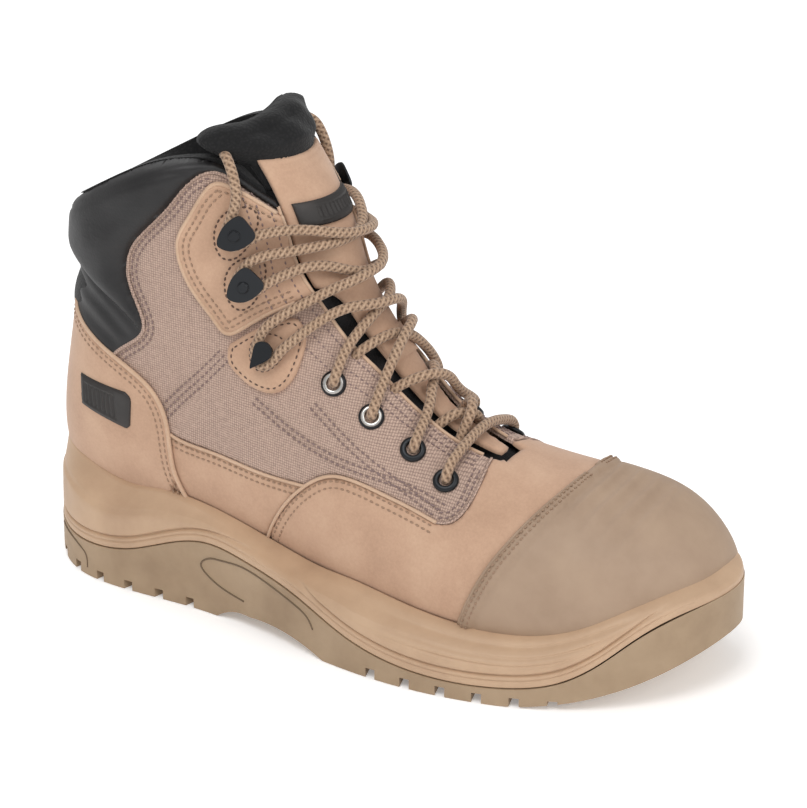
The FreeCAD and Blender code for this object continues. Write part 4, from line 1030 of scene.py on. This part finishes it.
HEEL_LABEL = outline([[(-121.5, 89), (-98, 87)], [(-98, 87), (-95.8, 85), (-95.6, 82)],
                      [(-95.6, 82), (-97, 72)], [(-97, 72), (-98.5, 70.6), (-101, 70.8)],
                      [(-101, 70.8), (-122, 75.5)], [(-122, 75.5), (-121.5, 89)]])
heel_in = lambda p: np.where(p[:, 1] < 0, inside(p[:, (0, 2)], HEEL_LABEL), -9)
FLAG = outline([[(-14.5, 162.2), (-14.5, 171.5)], [(-14.5, 171.5), (17, 171.5)],
                [(17, 171.5), (16.4, 162.2)], [(16.4, 162.2), (-14.5, 162.2)]])
flag_in = lambda p: np.where(p[:, 0] > -60, inside(p[:, (1, 2)], FLAG), -9)


def label_face(axis, mid):
    def relief(t, q, p, far):
        frame_ = np.exp(-((far - 2.0) / 0.55) ** 2) * 0.5
        ribs = 0.35 * np.sin(p[:, axis] * 2 * np.pi / 2.3) * (far > 3.2)
        plain = p[:, axis] > mid if axis == 0 else p[:, axis] < mid
        return np.where(plain, 0.25 * np.clip(far / 2, 0, 1), frame_ + ribs)
    return relief


patch("heel_label_rubber", (9.8, 12.6), (-0.78, -0.5), 0.45, heel_in, 2.5, 1.2, 0.4, M_LABEL,
      label_face(0, -103), ("heel_label",))
patch("tongue_label_rubber", (10.2, 12.4), (-0.2, 0.2), 0.45, flag_in, 1.5, 1.3, 0.4, M_LABEL,
      label_face(1, -7), ("tongue_label",))


def spun(name, profile, places, material, **kw):
    """A turned fitting: a profile (radius, height) spun round its axis, put at several places."""
    bm = bmesh.new()
    for t, q, lift in places:
        _, round_, out = directions(t, q)
        base = form(t, q) + out * lift
        verts = [bm.verts.new(Vector(base + round_ * r + out * h)) for r, h in profile]
        edges = [bm.edges.new((a, b)) for a, b in zip(verts, verts[1:])]
        bmesh.ops.spin(bm, geom=verts + edges, cent=Vector(base), axis=Vector(out),
                       angle=2 * math.pi, steps=32, use_merge=True)
    bmesh.ops.remove_doubles(bm, verts=bm.verts, dist=0.01)
    bmesh.ops.recalc_face_normals(bm, faces=bm.faces)
    bmesh.ops.scale(bm, vec=(MM, MM, MM), verts=bm.verts)
    return finish_object(name, bm, material, **kw)


RING = [(2.75, -1.5), (2.7, 0.9), (2.95, 1.35), (3.5, 1.55), (4.2, 1.5), (4.75, 1.15),
        (5.15, 0.55), (5.2, 0.1), (3.0, 0.05), (2.75, -1.5)]
INNER = [(2.6, -1.2), (2.55, 1.3), (2.8, 1.7), (3.3, 1.85), (3.9, 1.8), (4.2, 1.55), (3.6, 1.5),
         (2.75, 1.2), (2.6, -1.2)]
low = [(t, s * q, 0.0) for t, q in EYELETS[:2] for s in (-1, 1)]
upper = [(t, s * q, 0.0) for t, q in EYELETS[2:] for s in (-1, 1)]
spun("eyelets_black_rolled", RING, low, M_HOOK, replaces=("eyelets_plain",))
spun("eyelets_black_base", RING, upper, M_HOOK, replaces=("eyelets_ringed",))
spun("eyelets_plated_inner", INNER, upper, M_RING)

# A narrow groove runs round the top and ends of the leaf-shaped insets of the arch, and a crescent
# groove parts off the back corner of the heel block; thin dark cords paint the shade inside them.
LEAF = [(-37, 11.2), (-47, 12.8), (-55, 15.8), (-60, 21), (-56.5, 24.2), (-50, 25.4),
        (-40, 26.2), (-29, 25.0), (-18, 22.4), (-8, 19.4), (-1.5, 16), (1, 12)]
# Painted shade: the dark brown of the cords that stand in for the shade in the grooves.
M_GROOVE_SHADE = Shade("sole_groove_dark", "#6E5C49", 0.9).mat
HEEL_CRESCENT = [(-141, 14.4), (-133, 13.6), (-128, 12.6), (-124, 11.2), (-121, 9.4), (-120, 6.5),
                 (-120, 3.5)]
for word, side in (("lateral", -1), ("medial", 1)):
    wall = ring[ring[:, 1] * side > 15]
    wall = wall[np.argsort(wall[:, 0])]
    for kind, line in (("arch_inset_groove_", LEAF), ("heel_block_groove_", HEEL_CRESCENT)):
        xz = smooth(line, 1.0)
        y = np.interp(xz[:, 0], wall[:, 0], wall[:, 1])
        tube(kind + word, np.stack([xz[:, 0], y, xz[:, 1]], 1), 0.4, 6, M_GROOVE_SHADE)

# ---- stitches ----------------------------------------------------------------------------------
THREADS = {"sand": M_THREAD, "mauve": M_THREAD_MAUVE, "dark": M_THREAD_DARK}
for thread, mat in THREADS.items():
    bm = bmesh.new()
    for line, lift, kind, marks, pitch in ROWS:
        if kind != thread or len(line) < 4:
            continue
        spots, _ = resample(line, pitch)
        p = form(spots[:, 0], spots[:, 1])
        if "counter" not in marks:
            ok = off_slit(p) > 1.0
            spots, p = spots[ok], p[ok]
        if len(p) < 3:
            continue
        out = directions(spots[:, 0], spots[:, 1])[2]
        way = unit(np.gradient(p, axis=0))
        across = np.cross(out, way)
        for k in range(len(p)):
            m = Matrix((way[k] * pitch * 0.36, across[k] * 0.46, out[k] * 0.42)).transposed()
            m = m.to_4x4()
            m.translation = p[k] + out[k] * (lift - 0.14)
            bmesh.ops.create_uvsphere(bm, u_segments=6, v_segments=4, radius=1.0, matrix=m)
    bmesh.ops.scale(bm, vec=(MM, MM, MM), verts=bm.verts)
    finish_object("stitches_" + thread, bm, mat)


# ---- lace --------------------------------------------------------------------------------------
LACE_R, POST_R, PLATE = 2.1, 1.5, 0.9  # the lace, a hook's post and a hook's base plate
BASE = PANEL + 0.35
LOW, HIGH = 4.4, 9.0  # height of the lower and the upper half of the lace where they cross
UNDER = -PANEL - LACE_R - 0.35
HELD = BASE + PLATE + LACE_R + 0.3
BEND = POST_R + LACE_R + 1.5
EDGE_Q = [0.062, 0.070, 0.118, 0.162]
CROSS_T = [8.0, 8.75, 9.75]
SHOULDER = 0.14  # q at which a crossing lace leaves the tongue for the facing


def off(t, q, lift):
    """A point over the form, kept off the ridge, where its outward direction is undefined."""
    if abs(q) < 0.004:
        q = 0.004 if q >= 0 else -0.004
    return form(t, q) + directions(t, q)[2] * lift


def local(t, q, inward, up, lift):
    """A point beside a fitting: so far towards the slit, up the form and off it."""
    along, round_, out = directions(t, q)
    away = round_ if q > 0 else -round_
    return form(t, q) - away * inward + along * up + out * lift


def half_lace(side, high_first):
    """Points of one half of the lace, from the lowest bar up to its tucked end."""
    s = side
    mid = HIGH if (side > 0) == high_first else LOW
    t, q = EYELETS[0]
    spots = [local(t, s * q, 8.0, 0, 3.1), local(t, s * q, 3.6, 0, 3.1),
             local(t, s * q, 0.9, 0, 2.1), local(t, s * q, 0, 0, -0.6),
             local(t, s * q, 0.9, 0.3, UNDER + 1.1), local(t, s * q, 4.0, 0.8, UNDER),
             off(t + 0.10, s * (EDGE_Q[0] + 0.006), UNDER + 0.2),
             off(t + 0.16, s * (EDGE_Q[0] - 0.026), 0.8)]
    for k in (1, 2, 3):
        t0, t1, q1 = EYELETS[k - 1][0], EYELETS[k][0], EYELETS[k][1]
        edge0, edge1 = EDGE_Q[k - 1], EDGE_Q[k]
        tm = (t0 + t1) / 2
        spots += [off(tm - 0.10, s * edge0 * 0.30, mid), off(tm + 0.08, -s * edge1 * 0.30, mid)]
        s = -s
        spots += [off(t1 - 0.16, s * (edge1 - 0.026), 1.6),
                  off(t1 - 0.10, s * (edge1 + 0.006), UNDER + 0.2),
                  local(t1, s * q1, 4.2, -0.8, UNDER), local(t1, s * q1, 0.9, -0.3, UNDER + 1.1),
                  local(t1, s * q1, 0, 0, -0.6), local(t1, s * q1, 0.9, 0, 2.1),
                  local(t1, s * q1, 3.6, 0.2, 3.1), off(t1 + 0.10, s * EDGE_Q[k], 3.4)]
    hooks = [TAB_HOOK] + PLATE_HOOKS
    t0, q0 = EYELETS[3]
    for k, (t1, q1) in enumerate(hooks):
        tm = CROSS_T[k]
        if k:
            spots += [off(tm + (t0 - tm) * SHOULDER / q0, s * SHOULDER, 5.6)]
        spots += [off(tm - 0.05, s * 0.05, mid), off(tm + 0.05, -s * 0.05, mid),
                  off(tm + (t1 - tm) * SHOULDER / q1, -s * SHOULDER, 5.6)]
        s = -s
        spots += [local(t1, s * q1, 9.0, -BEND - 0.6, HELD), local(t1, s * q1, 2.0, -BEND, HELD),
                  local(t1, s * q1, -BEND * 0.7, -BEND * 0.7, HELD),
                  local(t1, s * q1, -BEND, 0, HELD),
                  local(t1, s * q1, -BEND * 0.7, BEND * 0.7, HELD)]
        if k < 2:
            spots += [local(t1, s * q1, 2.0, BEND, HELD),
                      local(t1, s * q1, 9.0, BEND + 0.6, HELD)]
        t0, q0 = t1, q1
    spots += [local(t0, s * q1, 1.0, BEND + 1.6, HELD), off(13.3, s * 0.236, 4.7),
              off(13.9, s * 0.228, 4.6), off(14.4, s * 0.225, 3.6), off(14.75, s * 0.225, -1.0),
              off(14.6, s * 0.225, -7.5), off(14.1, s * 0.228, -10.6),
              off(13.4, s * 0.232, -11.3), off(12.7, s * 0.236, -11.5)]
    return spots


def spline_points(points):
    """The smooth line of the lace: a NURBS spline with the route's points as its controls."""
    curve = bpy.data.curves.new("lace_route", "CURVE")
    curve.dimensions, curve.resolution_u = "3D", 8
    spline = curve.splines.new("NURBS")
    spline.points.add(len(points) - 1)
    for knot, p in zip(spline.points, points):
        knot.co = (*p, 1)
    spline.order_u, spline.use_endpoint_u = 3, True
    holder = bpy.data.objects.new("lace_route", curve)
    line = np.array([v.co[:] for v in bpy.data.meshes.new_from_object(holder).vertices])
    bpy.data.objects.remove(holder)
    steps = np.r_[True, np.linalg.norm(np.diff(line, axis=0), axis=1) > 0.05]
    return line[steps]


first, second = half_lace(-1, False), half_lace(1, False)
bar = [off(EYELETS[0][0], -0.03, 3.9), off(EYELETS[0][0], 0.03, 3.9)]
route = spline_points(first[::-1] + bar + second)
tube("lace_braided", route, LACE_R, 14, M_LACE, replaces=("lace",))

# ---- camera, light and floor -------------------------------------------------------------------
target = Vector((0, 3.6, 90)) * MM
az, el, dist = math.radians(30), math.radians(22.2), 1.3
back = Vector((math.sin(az) * math.cos(el), -math.cos(az) * math.cos(el), math.sin(el)))
cam = bpy.data.objects.new("camera", bpy.data.cameras.new("camera"))
bpy.context.scene.collection.objects.link(cam)
cam.location = target + back * dist
cam.rotation_mode = "QUATERNION"
cam.rotation_quaternion = (-back).to_track_quat("-Z", "Y")
cam.data.lens = 144.6
cam.data.shift_x, cam.data.shift_y = 0.0223, -0.0083
cam.data.clip_end = 20
bpy.context.scene.camera = cam


def area(name, where, size, power, tint="#FFFFFF"):
    light = bpy.data.lights.new(name, "AREA")
    light.shape, light.size, light.size_y = "RECTANGLE", size, size
    light.energy, light.color = power, colour(tint)[:3]
    ob = bpy.data.objects.new(name, light)
    bpy.context.scene.collection.objects.link(ob)
    ob.location = where
    ob.rotation_mode = "QUATERNION"
    ob.rotation_quaternion = (target - Vector(where)).to_track_quat("-Z", "Y")


area("key_light", (0.2, -1.1, 1.7), 0.9, 15)
area("front_light", (1.5, -0.3, 1.0), 1.0, 8)
area("back_light", (-1.0, 0.6, 1.4), 1.0, 7)
world = bpy.data.worlds.new("soft_room")
bpy.context.scene.world = world
world.use_nodes = True
world.node_tree.nodes["Background"].inputs[0].default_value = (1, 1, 1, 1)
world.node_tree.nodes["Background"].inputs[1].default_value = 0.5
bm = bmesh.new()
bmesh.ops.create_grid(bm, x_segments=1, y_segments=1, size=6)
bmesh.ops.translate(bm, verts=bm.verts, vec=(0, 0, -0.0002))
M_FLOOR = Shade("studio_floor_white", "#FFFFFF", 0.9, Emission_Color=(1, 1, 1, 1),
                Emission_Strength=0.22).mat
finish_object("studio_floor", bm, M_FLOOR, body=None)
bpy.context.scene.view_settings.view_transform = "Standard"
